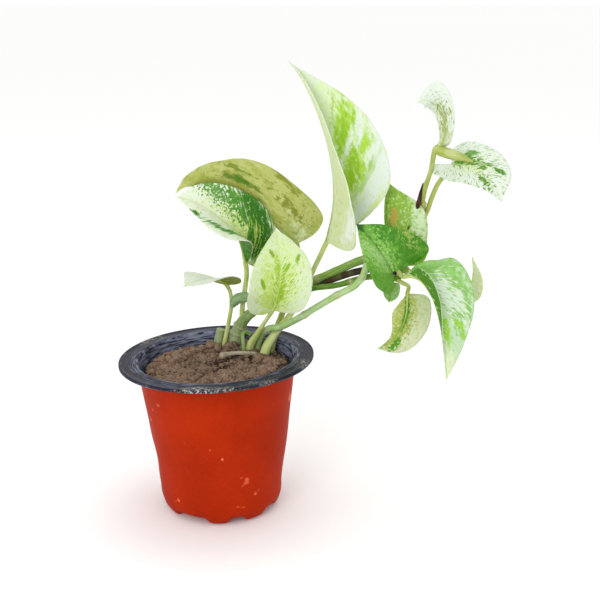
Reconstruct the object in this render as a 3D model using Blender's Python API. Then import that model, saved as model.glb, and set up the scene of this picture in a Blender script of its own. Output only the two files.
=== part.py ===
# Potted variegated pothos: a thin two-tone nursery pot, its potting soil, and a young vine whose stems,
# petioles and leaves are separate pieces. Metres, +Z up, front towards -Y. The origin is the middle of
# the pot's base, on the floor that the pot stands on.

import math
import random

import bmesh
import bpy
from mathutils import Vector

for old in list(bpy.data.objects):
    bpy.data.objects.remove(old, do_unlink=True)

MM = 0.001

# Pot
RIM_RADIUS = 60 * MM
POT_HEIGHT = 98 * MM
FLANGE_WIDTH = 11.3 * MM
LIP_DROP = 2.2 * MM
POT_WALL = 0.9 * MM
SHOULDER_RADIUS = 38.5 * MM
SHOULDER_HEIGHT = 14 * MM
FOOT_RING_RADIUS = 31.5 * MM
BASE_DISC_RADIUS = 21 * MM
FOOT_NOTCH = 3.4 * MM
FOOT_ANGLES = (0, 40, 86, 130, 175, 215, 258, 301)
FOOT_HALF_WIDTH = 15
DRAIN_RADIUS = 2.6 * MM
RIM_TILT = math.radians(2.2)
RIM_SHIFT = -1.6 * MM
POT_SEGMENTS = 48
# Where the pot's rows lie on the floor, the shoulder and the wall, as shares of each.
FLOOR_ROWS = (0.35, 0.7, 1)
SHOULDER_ROWS = (0.12, 0.35, 0.65, 1)
WALL_ROWS = 6
LIP_ROWS = 3
# Soft dents in the wall: angle from the front towards +X, height as a share of the pot's, depth, spread.
POT_DENTS = (
    (-84, 0.37, 2.0 * MM, 11 * MM),
    (18, 0.30, 0.7 * MM, 9 * MM),
    (96, 0.24, 1.0 * MM, 12 * MM),
)

# Soil
SOIL_DROP = 6 * MM
SOIL_CLEARANCE = 0.7 * MM
SOIL_SHRINK = 1.6 * MM
SOIL_SHRINK_DEPTH = 12 * MM
CLOD_HEIGHT = 2.2 * MM
CLOD_SPREAD = 3.2 * MM
CLOD_COUNT = 70
CLOD_REACH = 0.94
SOIL_RINGS = 8
SOIL_SIDE_ROWS = 7
SOIL_SEGMENTS = 32

# Plant
PIECE_GAP = 0.3 * MM
SOCKET_CLEARANCE = 0.5 * MM
SOCKET_RISE = 8 * MM
LEAF_THICKNESS = 0.5 * MM
STEM_STEP = 7 * MM
# Rounding of a stem's end: how far out and how wide each ring is, in end radii.
END_ROUNDING = ((0.55, 0.8), (0.85, 0.4))
# A leaf's mesh follows its side veins, which slant towards the tip.
VEIN_SLANT = 0.7
RULINGS = 12
CELLS_ACROSS = 3
MIDRIB_STEP = 0.02
FLATTEST_CURL = 0.001
# The plant's places are in millimetres from the soil's middle, at the soil's level, in a soil this wide,
# so the plant keeps its place in the pot when the pot's size changes.
PLANT_SOIL_RADIUS = 45.1


def linear_colour(code):
    channels = [int(code[i:i + 2], 16) / 255 for i in (0, 2, 4)]
    return [c / 12.92 if c <= 0.04045 else ((c + 0.055) / 1.055) ** 2.4 for c in channels] + [1.0]


def make_material(name, code, roughness):
    material = bpy.data.materials.new(name)
    material.use_nodes = True
    shader = material.node_tree.nodes["Principled BSDF"]
    shader.inputs["Base Color"].default_value = linear_colour(code)
    shader.inputs["Roughness"].default_value = roughness
    shader.inputs["Metallic"].default_value = 0.0
    return material


def add_object(name, data, material):
    data.materials.append(material)
    piece = bpy.data.objects.new(name, data)
    bpy.context.scene.collection.objects.link(piece)
    return piece


def smoothstep(t):
    t = min(1.0, max(0.0, t))
    return t * t * (3 - 2 * t)


def catmull_rom(points, t):
    """The point at t, from 0 to 1, on a smooth curve through all the points."""
    spans = len(points) - 1
    index = min(int(t * spans), spans - 1)
    u = t * spans - index
    b, c = points[index], points[index + 1]
    a = points[index - 1] if index > 0 else 2 * b - c
    d = points[index + 2] if index + 2 <= spans else 2 * c - b
    return 0.5 * (2 * b + (c - a) * u + (2 * a - 5 * b + 4 * c - d) * u**2 + (3 * b - a - 3 * c + d) * u**3)


# --- Pot ---

def direction(angle):
    """Level unit vector at an angle from the front, -Y, towards +X."""
    return Vector((math.sin(angle), -math.cos(angle), 0))


def angle_between(a, b):
    return abs((a - b + math.pi) % (2 * math.pi) - math.pi)


def foot_share(angle):
    """1 on a foot, 0 in the notch between two feet."""
    share = 0
    for foot in FOOT_ANGLES:
        away = math.degrees(angle_between(angle, math.radians(foot)))
        share = max(share, 1 - smoothstep((away - FOOT_HALF_WIDTH / 2) / (FOOT_HALF_WIDTH / 2)))
    return share


WALL_TOP_RADIUS = RIM_RADIUS - FLANGE_WIDTH
WALL_TOP = POT_HEIGHT - LIP_DROP


def wall_radius(height):
    """Outer radius of the tapered wall, with a rounded turn down to the foot ring."""
    if height >= SHOULDER_HEIGHT:
        share = (height - SHOULDER_HEIGHT) / (WALL_TOP - SHOULDER_HEIGHT)
        return SHOULDER_RADIUS + share * (WALL_TOP_RADIUS - SHOULDER_RADIUS)
    share = 1 - height / SHOULDER_HEIGHT
    return FOOT_RING_RADIUS + (SHOULDER_RADIUS - FOOT_RING_RADIUS) * math.sqrt(1 - share**2)


def dent_depth(angle, height):
    depth = 0
    for dent_angle, share, deepest, spread in POT_DENTS:
        across = wall_radius(height) * angle_between(angle, math.radians(dent_angle))
        along = height - share * POT_HEIGHT
        depth += deepest * math.exp(-(across**2 + along**2) / spread**2)
    return depth


def pot_point(angle, radius, height):
    """Lean the soft pot: its rim is shifted and tilted a little, and its base stays flat."""
    lean = smoothstep(height / POT_HEIGHT) * height / POT_HEIGHT
    point = direction(angle) * radius + Vector((RIM_SHIFT * lean, 0, height))
    point.z += math.tan(RIM_TILT) * point.x * lean
    return point


def pot_profile():
    """(radius, height, foot effect, dent effect) up the outside, round the lip and down the inside."""
    outer = [(BASE_DISC_RADIUS, 0, 0, 0)]
    for t in FLOOR_ROWS:
        radius = BASE_DISC_RADIUS + (FOOT_RING_RADIUS - BASE_DISC_RADIUS) * t
        outer.append((radius, 0, smoothstep(t * 1.5), 0))
    for t in SHOULDER_ROWS:
        outer.append((wall_radius(t * SHOULDER_HEIGHT), t * SHOULDER_HEIGHT, (1 - t)**2, t))
    for row in range(1, WALL_ROWS + 1):
        height = SHOULDER_HEIGHT + row / WALL_ROWS * (WALL_TOP - SHOULDER_HEIGHT)
        outer.append((wall_radius(height), height, 0, 1))
    flange = [
        (WALL_TOP_RADIUS + POT_WALL, POT_HEIGHT - 1.4 * POT_WALL, 0, 0),
        (RIM_RADIUS - 1.3 * POT_WALL, POT_HEIGHT - POT_WALL, 0, 0),
        (RIM_RADIUS - POT_WALL, POT_HEIGHT - LIP_DROP, 0, 0),
        (RIM_RADIUS - 0.1 * POT_WALL, POT_HEIGHT - LIP_DROP, 0, 0),
        (RIM_RADIUS, POT_HEIGHT - POT_WALL, 0, 0),
        (RIM_RADIUS - POT_WALL, POT_HEIGHT, 0, 0),
        (WALL_TOP_RADIUS + POT_WALL, POT_HEIGHT - 0.3 * POT_WALL, 0, 0),
    ]
    floor = len(FLOOR_ROWS)
    inner = [(radius - POT_WALL, height, foot, dent) for radius, height, foot, dent in outer[:floor:-1]]
    inner += [(radius - 0.5 * POT_WALL, POT_WALL, foot, dent) for radius, _, foot, dent in outer[floor::-1]]
    return outer + flange + inner


def make_pot():
    mesh = bmesh.new()
    rows = []
    for radius, height, foot, dent in pot_profile():
        row = []
        for i in range(POT_SEGMENTS):
            angle = 2 * math.pi * i / POT_SEGMENTS
            lift = FOOT_NOTCH * foot * (1 - foot_share(angle))
            pushed = radius - dent * dent_depth(angle, height)
            row.append(mesh.verts.new(pot_point(angle, pushed, height + lift)))
        rows.append(row)
    lip = 1 + len(FLOOR_ROWS) + len(SHOULDER_ROWS) + WALL_ROWS + LIP_ROWS
    for index, (low, high) in enumerate(zip(rows, rows[1:])):
        for i in range(POT_SEGMENTS):
            j = (i + 1) % POT_SEGMENTS
            mesh.faces.new((low[i], low[j], high[j], high[i])).material_index = int(index >= lip)
    mesh.faces.new(reversed(rows[0]))
    mesh.faces.new(rows[-1]).material_index = 1
    data = bpy.data.meshes.new("nursery_pot")
    mesh.to_mesh(data)
    mesh.free()
    pot = add_object("nursery_pot", data, make_material("orange_red_plastic", "B32A05", 0.42))
    data.materials.append(make_material("blue_black_plastic", "2B2B36", 0.42))
    cut(pot, make_drain_cutter())
    data.shade_smooth()
    data.set_sharp_from_angle(angle=math.radians(50))


def cut(piece, cutter):
    modifier = piece.modifiers.new("cut", "BOOLEAN")
    modifier.operation = "DIFFERENCE"
    modifier.solver = "EXACT"
    modifier.object = cutter
    cutter.hide_render = True
    cutter.display_type = "WIRE"


def add_rod(mesh, start, end, radius, sides):
    """A plain closed rod between two points."""
    axis = end - start
    turn = axis.to_track_quat("Z", "Y").to_matrix().to_4x4()
    turn.translation = (start + end) / 2
    bmesh.ops.create_cone(mesh, cap_ends=True, segments=sides, radius1=radius, radius2=radius,
                          depth=axis.length, matrix=turn)


def make_drain_cutter():
    """One drain hole through the floor in each notch between two feet."""
    mesh = bmesh.new()
    ring = (BASE_DISC_RADIUS + FOOT_RING_RADIUS) / 2
    turns = FOOT_ANGLES[1:] + (FOOT_ANGLES[0] + 360,)
    for this, following in zip(FOOT_ANGLES, turns):
        middle = direction(math.radians((this + following) / 2)) * ring
        add_rod(mesh, middle + Vector((0, 0, -FOOT_NOTCH)), middle + Vector((0, 0, 3 * FOOT_NOTCH)),
                DRAIN_RADIUS, 12)
    data = bpy.data.meshes.new("drain_cutter")
    mesh.to_mesh(data)
    mesh.free()
    return add_object("drain_cutter", data, make_material("cutter_guide", "808080", 0.5))


# --- Soil ---

SOIL_LEVEL = POT_HEIGHT - SOIL_DROP
SOIL_BOTTOM = FOOT_NOTCH + POT_WALL + SOIL_CLEARANCE


def soil_radius(angle, height):
    """The soil fills the pot, and has drawn back from the wall near its top."""
    drawn_back = SOIL_SHRINK * smoothstep(1 - (SOIL_LEVEL - height) / SOIL_SHRINK_DEPTH)
    notch = FOOT_NOTCH * max(0, 1 - height / SHOULDER_HEIGHT)
    inside = wall_radius(height - notch) - POT_WALL - dent_depth(angle, height)
    return inside - SOIL_CLEARANCE / math.cos(math.pi / SOIL_SEGMENTS) - drawn_back


def clods():
    """Seeded places and heights of the clods, as shares of the soil's radius and of the clod height."""
    dice = random.Random(12)
    found = []
    for _ in range(CLOD_COUNT):
        reach = math.sqrt(dice.random()) * CLOD_REACH
        turn = dice.random() * 2 * math.pi
        found.append((reach * math.cos(turn), reach * math.sin(turn), dice.uniform(-0.7, 1.0)))
    return found


def make_soil():
    places = clods()
    widest = soil_radius(0, SOIL_LEVEL)
    mesh = bmesh.new()

    def top_height(point):
        height = 0
        for x, y, share in places:
            away = (point.x - x * widest)**2 + (point.y - y * widest)**2
            height += share * CLOD_HEIGHT * math.exp(-away / CLOD_SPREAD**2)
        return height

    rows = []
    for ring in range(1, SOIL_RINGS + 1):
        row = []
        for i in range(SOIL_SEGMENTS):
            angle = 2 * math.pi * i / SOIL_SEGMENTS
            point = pot_point(angle, soil_radius(angle, SOIL_LEVEL) * ring / SOIL_RINGS, SOIL_LEVEL)
            edge = smoothstep((SOIL_RINGS - ring) / 2)
            point.z += top_height(point) * edge
            row.append(mesh.verts.new(point))
        rows.append(row)
    for step in range(1, SOIL_SIDE_ROWS + 1):
        height = SOIL_LEVEL + (SOIL_BOTTOM - SOIL_LEVEL) * (step / SOIL_SIDE_ROWS)**0.8
        row = []
        for i in range(SOIL_SEGMENTS):
            angle = 2 * math.pi * i / SOIL_SEGMENTS
            row.append(mesh.verts.new(pot_point(angle, soil_radius(angle, height), height)))
        rows.append(row)
    for high, low in zip(rows, rows[1:]):
        for i in range(SOIL_SEGMENTS):
            j = (i + 1) % SOIL_SEGMENTS
            mesh.faces.new((high[j], high[i], low[i], low[j]))
    middle = pot_point(0, 0, SOIL_LEVEL)
    middle.z += top_height(middle)
    centre = mesh.verts.new(middle)
    for i in range(SOIL_SEGMENTS):
        mesh.faces.new((centre, rows[0][i], rows[0][(i + 1) % SOIL_SEGMENTS]))
    mesh.faces.new(reversed(rows[-1]))
    data = bpy.data.meshes.new("potting_soil")
    mesh.to_mesh(data)
    mesh.free()
    soil = add_object("potting_soil", data, make_material("crumbly_soil", "7B6655", 0.95))
    cut(soil, make_socket_cutter())
    data.shade_smooth()
    data.set_sharp_from_angle(angle=math.radians(40))


# --- Stems ---

PLANT_SCALE = soil_radius(0, SOIL_LEVEL) / PLANT_SOIL_RADIUS


def plant_place(x, y, z):
    """A plant place in metres, in the object's frame."""
    return Vector((x, y, z)) * PLANT_SCALE + Vector((0, 0, SOIL_LEVEL))


# Each stem: its first and last radius in millimetres, its points, and what it grows from. A stem that
# grows from the soil starts with its buried end and the point where it comes out.
STEMS = {
    "main_vine": dict(
        radii=(3.6, 2.2), source="soil", colour="5E9234",
        points=((6, 38, -8), (8, 39, 4), (11, 39, 12), (15, 36, 19), (22, 34, 25), (37, 32, 35),
                (58, 28, 45), (75, 22, 55), (91, 16, 63), (106, 12, 62), (117, 8, 57))),
    "lower_vine": dict(
        radii=(1.9, 1.7), source="main_vine", colour="4F8A2A",
        points=((33, 27, 30), (42, 24, 36), (58, 20, 43), (74, 18, 46), (91, 14, 52), (105, 10, 53),
                (112, 7, 52))),
    "front_vine": dict(
        radii=(1.9, 2.1), source="soil", colour="93B972",
        points=((22, 31, -8), (23.5, 29, 4), (26.5, 25, 12), (31.5, 20, 17), (38, 18, 18.5), (50, 14, 26),
                (60, 12, 33), (73, 9, 42), (83, 7, 48), (88.5, 6, 55), (91, 6, 66))),
    "upper_vine": dict(
        radii=(2.0, 1.8), source="main_vine", colour="A3B25C",
        points=((102, 19, 64), (109, 28, 66), (119, 32, 75), (125, 31, 88))),
    "left_stub": dict(
        radii=(2.0, 1.7), source="soil", colour="8E9A6C",
        points=((-4, 40, -8), (-2.5, 40, 4), (-1.5, 40, 9))),
}

# --- Leaves ---

# Halves of a blade's outline, joint to tip: share of the length along the midrib, and share of the half
# width away from it. A negative length share is the lobe behind the joint, in units of the lobe's reach.
HEART = ((0, 0), (-0.75, 0.2), (-1, 0.46), (-0.7, 0.75), (0.04, 0.95), (0.2, 1), (0.42, 0.88),
         (0.64, 0.6), (0.84, 0.26), (0.95, 0.08), (1, 0))
OVATE = ((0, 0), (-0.8, 0.2), (-1, 0.45), (-0.6, 0.72), (0.06, 0.92), (0.24, 1), (0.45, 0.97),
         (0.65, 0.79), (0.82, 0.47), (0.93, 0.2), (1, 0))
LONG = ((0, 0), (-1, 0.2), (-0.7, 0.4), (0.08, 0.56), (0.13, 0.8), (0.2, 0.97), (0.3, 1), (0.43, 0.94),
        (0.56, 0.8), (0.7, 0.46), (0.84, 0.2), (1, 0))
TAPERED = ((0, 0), (-0.8, 0.3), (-1, 0.62), (-0.3, 0.88), (0.12, 1), (0.26, 0.98), (0.37, 0.85),
           (0.5, 0.63), (0.68, 0.38), (0.84, 0.16), (1, 0))
FULL = ((0, 0), (-0.7, 0.2), (-1, 0.46), (-0.4, 0.68), (0.12, 0.84), (0.32, 0.95), (0.56, 1),
        (0.76, 0.8), (0.87, 0.42), (0.94, 0.14), (1, 0))
SQUARE = ((0, 0), (-0.8, 0.28), (-1, 0.56), (0, 0.84), (0.1, 0.99), (0.22, 1), (0.4, 0.84), (0.6, 0.58),
          (0.8, 0.28), (0.93, 0.09), (1, 0))

# Each leaf's midrib runs from the joint with its petiole to the tip. face is the way its upper side looks,
# at the joint and at the tip. outline and half_width are (left, right), seen on the upper side with the
# tip up. fold is how far each half is lifted towards the upper side, at the joint and at the tip, and curl
# is how much more it bends from the midrib to the margin, in degrees. lobe is how far each half's lobe
# reaches behind the joint, as a share of the length.
LEAVES = {
    "tall_leaf": dict(
        midrib=((67, 38, 69), (71, 36, 93), (70, 38, 116), (64, 44, 141), (53, 52, 166), (43, 58, 180)),
        face=((-0.25, -1, 0.1), (0, -1, 0.3)), outline=(LONG, LONG), half_width=(36, 38), lobe=(0.03, 0.03),
        fold_left=(118, 96), fold_right=(8, 14), curl=(6, 10), colour="DCE8C8"),
    "hood_leaf": dict(
        midrib=((48, 45, 66), (37, 38, 77), (15, 28, 99), (-3, 18, 111), (-15, 10, 113), (-23, 4, 109)),
        face=((0, 1, 0.2), (0, 1, 0.4)), outline=(TAPERED, TAPERED), half_width=(31.5, 30), lobe=(0.05, 0.07),
        fold_left=(6, 20), fold_right=(95, 95), curl=(26, 10), colour="B0B464"),
    "trough_leaf": dict(
        midrib=((16, 34, 56), (11, 28, 75), (2, 20, 87), (-11, 10, 99), (-23, 2, 105)),
        face=((0.3, -1, 0.3), (0.1, -1, 0.3)), outline=(OVATE, OVATE), half_width=(27, 24), lobe=(0.08, 0.08),
        fold_left=(60, 34), fold_right=(14, 10), curl=(10, 10), colour="9DBE84"),
    "heart_leaf": dict(
        midrib=((32, 12, 31), (35, 9, 43), (37, 11, 57), (36.5, 16, 68), (35, 24, 80)),
        face=((-0.1, -1, 0.2), (0, -1, 0.3)), outline=(OVATE, OVATE), half_width=(20, 20.5), lobe=(0.1, 0.1),
        fold_left=(34, 10), fold_right=(6, 10), curl=(10, 6), colour="DCE8CC"),
    "edge_leaf": dict(
        midrib=((4, 34, 42), (-3, 25, 48), (-11, 14, 50), (-19, 5, 49)),
        face=((0, 0.1, 1), (-0.2, -0.7, 1)), outline=(OVATE, FULL), half_width=(12, 14), lobe=(0.12, 0.12),
        fold_left=(24, 6), fold_right=(4, 10), curl=(0, -8), colour="D2DCC8"),
    "behind_leaf": dict(
        midrib=((113, 22, 58), (107, 22, 72), (104, 28, 91), (105, 37, 108)),
        face=((0.15, -1, 0.1), (0.1, -1, 0.2)), outline=(OVATE, FULL), half_width=(5.5, 24),
        lobe=(0.06, 0.08), fold_left=(50, 58), fold_right=(8, 12), curl=(6, 8), colour="8FB850"),
    "dark_leaf": dict(
        midrib=((106, 1, 59), (100, -3, 70), (92, -4, 81), (84, -1, 89)),
        face=((0, -1, 0.2), (0, -1, 0.3)), outline=(HEART, SQUARE), half_width=(18, 26), lobe=(0.24, 0.03),
        fold_left=(44, 30), fold_right=(8, 10), curl=(4, 4), colour="3F7D1B"),
    "young_leaf": dict(
        midrib=((107, 9, 49.5), (106, 7, 43.5), (105, 7, 38)),
        face=((-0.1, -1, 0), (-0.1, -1, 0)), outline=(OVATE, OVATE), half_width=(5.5, 5.5), lobe=(0.06, 0.06),
        fold_left=(20, 20), fold_right=(20, 20), curl=(10, 10), colour="6FA03C"),
    "hanging_leaf": dict(
        midrib=((116, -7, 60), (123, -16, 57), (130, -20, 45), (135, -18, 25), (140, -10, -6)),
        face=((0.3, -0.5, 0.9), (0.1, -1, 0.1)), outline=(OVATE, HEART), half_width=(26, 20),
        lobe=(0.06, 0.08), fold_left=(6, 16), fold_right=(80, 86), curl=(12, 4), colour="8FC57C"),
    "low_leaf": dict(
        midrib=((117, -2, 46), (118, -9, 35), (112, -13, 24), (97, -14, 15)),
        face=((0.1, 1, -0.3), (0, 1, -0.2)), outline=(OVATE, OVATE), half_width=(9.5, 14), lobe=(0.1, 0.1),
        fold_left=(20, 20), fold_right=(10, 10), curl=(10, 10), colour="C8CF8C"),
    "sliver_leaf": dict(
        midrib=((154.5, 17, 39), (158, 19, 50), (157.5, 22, 63)),
        face=((1, 0.3, 0), (1, 0.3, 0.2)), outline=(HEART, HEART), half_width=(10, 10), lobe=(0.08, 0.08),
        fold_left=(20, 20), fold_right=(20, 20), curl=(6, 6), colour="B9C98A"),
    "top_leaf": dict(
        midrib=((134, 22, 130), (139, 21, 139), (140.5, 18, 153), (139, 14, 166), (132, 8, 172),
                (123, 2, 167), (118, 0, 162)),
        face=((-0.2, 1, 0.2), (-0.6, 0.6, -0.4)), outline=(OVATE, FULL), half_width=(18, 18),
        lobe=(0.06, 0.06), fold_left=(20, 110), fold_right=(84, 10), curl=(10, 6), colour="D5DFD2"),
    "right_leaf": dict(
        midrib=((143, 24, 121), (152, 18, 120), (162, 11, 113), (169.5, 5, 101)),
        face=((0, -0.85, 0.5), (0, -1, 0.3)), outline=(FULL, HEART), half_width=(19.5, 12), lobe=(0.08, 0.24),
        fold_left=(6, 6), fold_right=(10, 10), curl=(4, 4), colour="DFE7E0"),
}

# Each petiole: its first and last radius, what it grows from, and its points on the way to its leaf.
PETIOLES = {
    "tall_leaf": dict(radii=(1.9, 1.6), source="soil",
                      points=((26, 20, -8), (29, 22, 4), (36, 25.5, 14), (45, 31, 24), (53, 37, 36),
                              (59, 41, 50))),
    "hood_leaf": dict(radii=(1.8, 1.5), source="soil",
                      points=((30, 25.5, -8), (32, 28, 4), (36, 34, 15), (42, 41, 30), (48, 46, 50))),
    "trough_leaf": dict(radii=(1.7, 1.5), source="main_vine",
                        points=((11, 37, 17), (13, 36, 26), (14.5, 35, 36), (16, 36, 48))),
    "heart_leaf": dict(radii=(1.5, 1.2), source="soil",
                       points=((15.5, 29, -8), (18.5, 26, 4), (22.5, 22, 12), (28, 17, 22))),
    "edge_leaf": dict(radii=(1.3, 1.2), source="soil",
                      points=((-1, 34, -8), (1.5, 34.5, 4), (4, 34.5, 16), (6, 35, 28), (5.5, 35, 36))),
    "behind_leaf": dict(radii=(1.3, 1.2), source="main_vine",
                        points=((108, 14, 58), (111, 20, 51), (114, 26, 52))),
    "dark_leaf": dict(radii=(1.2, 1.1), source="main_vine", points=((104, 8, 61), (105.5, 5, 59))),
    "young_leaf": dict(radii=(1.0, 0.9), source="lower_vine", points=((106.5, 12.5, 51),)),
    "hanging_leaf": dict(radii=(1.4, 1.3), source="main_vine", points=((110, 7, 57), (112.5, 1, 56))),
    "low_leaf": dict(radii=(1.3, 1.1), source="lower_vine", points=((113, 4, 51), (116, 0, 50))),
    "sliver_leaf": dict(radii=(1.3, 1.1), source="main_vine",
                        points=((121, 8, 56), (136, 12, 48), (149, 15, 39))),
    "top_leaf": dict(radii=(1.7, 1.5), source="upper_vine",
                     points=((124.5, 31, 92), (127, 27, 105), (130, 24, 117))),
    "right_leaf": dict(radii=(1.5, 1.3), source="upper_vine",
                       points=((129.5, 30, 90.5), (131.5, 28, 99), (135, 27, 108), (140, 27, 115))),
}

# Small pieces round the stems: a dry sheath, a curled shoot, and roots that stay out of the soil.
SMALL_PIECES = {
    "dry_sheath": dict(radii=(1.1, 0.6), colour="3B2622",
                       points=((121, 32, 93), (122.5, 31, 100), (124.5, 29, 108))),
    "curled_shoot": dict(radii=(1.6, 1.4), colour="8FAE7C",
                         points=((8, 30, 31), (11, 29, 34), (16, 29, 34.5), (19, 29, 32))),
    "aerial_root": dict(radii=(0.8, 0.7), colour="7FA055",
                        points=((16, 30, 11), (13.5, 28, 11), (14.5, 25, 7), (14, 24, 4))),
    "frayed_root": dict(radii=(1.1, 0.8), colour="9A8A84",
                        points=((17, 16, 2.6), (10, 14.5, 2.8), (2, 11, 2.8), (-2, 7, 2.6))),
}


def length_along(points):
    return sum((b - a).length for a, b in zip(points, points[1:]))


def smooth_route(points):
    count = max(3, round(length_along(points) / STEM_STEP))
    return [catmull_rom(points, i / count) for i in range(count + 1)]


def closest_on(route, point):
    best = None
    for a, b in zip(route, route[1:]):
        span = b - a
        share = min(1, max(0, (point - a).dot(span) / span.length_squared))
        here = a + span * share
        if best is None or (here - point).length < (best - point).length:
            best = here
    return best


def taper(radii, count):
    return [radii[0] + (radii[1] - radii[0]) * i / (count - 1) for i in range(count)]


def add_stem(name, route, radii, material):
    """A tapered round stem along a route, with both ends rounded inside their end spheres."""
    start = (route[0] - route[1]).normalized()
    end = (route[-1] - route[-2]).normalized()
    sizes = taper(radii, len(route))
    stops = [(route[0] + start * sizes[0] * out, sizes[0] * share) for out, share in reversed(END_ROUNDING)]
    stops += list(zip(route, sizes))
    stops += [(route[-1] + end * sizes[-1] * out, sizes[-1] * share) for out, share in END_ROUNDING]
    curve = bpy.data.curves.new(name, "CURVE")
    curve.dimensions = "3D"
    curve.bevel_depth = 1.0
    curve.bevel_resolution = 2
    curve.use_fill_caps = True
    spline = curve.splines.new("POLY")
    spline.points.add(len(stops) - 1)
    for point, (place, radius) in zip(spline.points, stops):
        point.co = (*place, 1)
        point.radius = radius
    spline.use_smooth = True
    add_object(name, curve, material)


ROUTES = {}
END_RADII = {}
SOCKETS = []


def grow(name, spec, code, last=None):
    """Start a stem in the soil or on the stem it grows from, and end it at its leaf if it has one."""
    radii = [radius * PLANT_SCALE for radius in spec["radii"]]
    points = [plant_place(*point) for point in spec["points"]]
    source = spec.get("source")
    if source == "soil":
        points.insert(1, (points[0] + points[1]) / 2)
        SOCKETS.append((points[0], points[2], radii[0]))
    elif source:
        parent = closest_on(ROUTES[source], points[0])
        away = (points[0] - parent).normalized()
        points[0] = parent + away * (END_RADII[source] + radii[0] + PIECE_GAP)
    if last is not None:
        points.append(last)
    ROUTES[name] = smooth_route(points)
    END_RADII[name] = max(radii)
    add_stem(name, ROUTES[name], radii, make_material(name + "_skin", code, 0.45))


def blade_outline(corners, lobe):
    """Evenly stepped points on half of the outline: length share, half-width share."""
    corners = [Vector((s * lobe if s < 0 else s, w, 0)) for s, w in corners]
    return [catmull_rom(corners, i / RULINGS) for i in range(RULINGS + 1)]


class Blade:
    """Maps a flat leaf, length share s along the midrib and millimetres w to one side, into space."""

    def __init__(self, spec):
        self.points = [plant_place(*point) for point in spec["midrib"]]
        self.length = length_along([catmull_rom(self.points, i / 40) for i in range(41)])
        self.faces = [Vector(face).normalized() for face in spec["face"]]
        self.spec = spec
        self.widths = [width * PLANT_SCALE for width in spec["half_width"]]

    def axes(self, s):
        """Place, way to the tip, way the upper side looks and way to the right, at s on the midrib."""
        inside = min(1.0, max(0.0, s))
        place = catmull_rom(self.points, inside)
        ahead = catmull_rom(self.points, min(1.0, inside + MIDRIB_STEP))
        back = catmull_rom(self.points, max(0.0, inside - MIDRIB_STEP))
        forward = (ahead - back).normalized()
        place = place + forward * (s - inside) * self.length
        face = self.faces[0].lerp(self.faces[1], inside)
        face = (face - forward * face.dot(forward)).normalized()
        return place, forward, face, forward.cross(face)

    def place(self, side, s, share):
        """side is 0 on the left and 1 on the right, share is the distance from the midrib in half widths."""
        middle, _, face, right = self.axes(s)
        first, last = self.spec["fold_right" if side else "fold_left"]
        start = math.radians(first + (last - first) * min(1.0, max(0.0, s)))
        curl = math.radians(self.spec["curl"][side]) or FLATTEST_CURL
        width = self.widths[side]
        across = width / curl * (math.sin(start + curl * share) - math.sin(start))
        up = width / curl * (math.cos(start) - math.cos(start + curl * share))
        return middle + right * (across if side else -across) + face * up


def make_leaf(name, spec):
    blade = Blade(spec)
    slant = VEIN_SLANT * sum(blade.widths) / 2 / blade.length
    halves = [blade_outline(spec["outline"][side], spec["lobe"][side]) for side in (0, 1)]
    roots = [max(0, (left.x + right.x - slant * (left.y + right.y)) / 2) for left, right in zip(*halves)]
    mesh = bmesh.new()
    for side in (0, 1):
        rows = []
        for root, margin in zip(roots, halves[side]):
            row = []
            for i in range(CELLS_ACROSS + 1):
                t = i / CELLS_ACROSS
                row.append(mesh.verts.new(blade.place(side, root + (margin.x - root) * t, margin.y * t)))
            rows.append(row)
        for low, high in zip(rows, rows[1:]):
            for i in range(CELLS_ACROSS):
                corners = [low[i], low[i + 1], high[i + 1], high[i]]
                mesh.faces.new(corners if side else corners[::-1])
    bmesh.ops.remove_doubles(mesh, verts=mesh.verts, dist=0.02 * MM)
    bmesh.ops.recalc_face_normals(mesh, faces=mesh.faces)
    data = bpy.data.meshes.new(name)
    mesh.to_mesh(data)
    mesh.free()
    leaf = add_object(name, data, make_material(name + "_blade", spec["colour"], 0.4))
    thicken = leaf.modifiers.new("thickness", "SOLIDIFY")
    thicken.thickness = LEAF_THICKNESS
    thicken.offset = 0
    thicken.use_even_offset = True
    thicken.use_quality_normals = True
    data.shade_smooth()
    data.set_sharp_from_angle(angle=math.radians(60))


def petiole_end(leaf, radius):
    """The end of a petiole sits behind the leaf's joint, clear of the blade."""
    place, forward, face, _ = Blade(LEAVES[leaf]).axes(0)
    return place - face * (radius + LEAF_THICKNESS / 2 + PIECE_GAP) - forward * radius


def make_socket_cutter():
    """The holes that the buried stems stand in."""
    mesh = bmesh.new()
    for buried, surface, radius in SOCKETS:
        along = (surface - buried).normalized()
        add_rod(mesh, buried - along * (radius + SOCKET_CLEARANCE), surface + along * SOCKET_RISE,
                radius + SOCKET_CLEARANCE, 12)
    data = bpy.data.meshes.new("socket_cutter")
    mesh.to_mesh(data)
    mesh.free()
    return add_object("socket_cutter", data, make_material("socket_guide", "808080", 0.5))


make_pot()
for name, spec in STEMS.items():
    grow(name, spec, spec["colour"])
for leaf, spec in PETIOLES.items():
    last = petiole_end(leaf, spec["radii"][1] * PLANT_SCALE)
    grow(leaf + "_petiole", spec, "B4C56A", last)
for name, spec in SMALL_PIECES.items():
    grow(name, spec, spec["colour"])
for name, spec in LEAVES.items():
    make_leaf(name, spec)
make_soil()
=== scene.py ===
# A variegated pothos in a thin two-tone nursery pot, on a pale floor.
# Metres, +Z up, front towards -Y, with the middle of the pot's base at the origin.

import math
import random

import bpy
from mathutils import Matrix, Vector, noise


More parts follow.
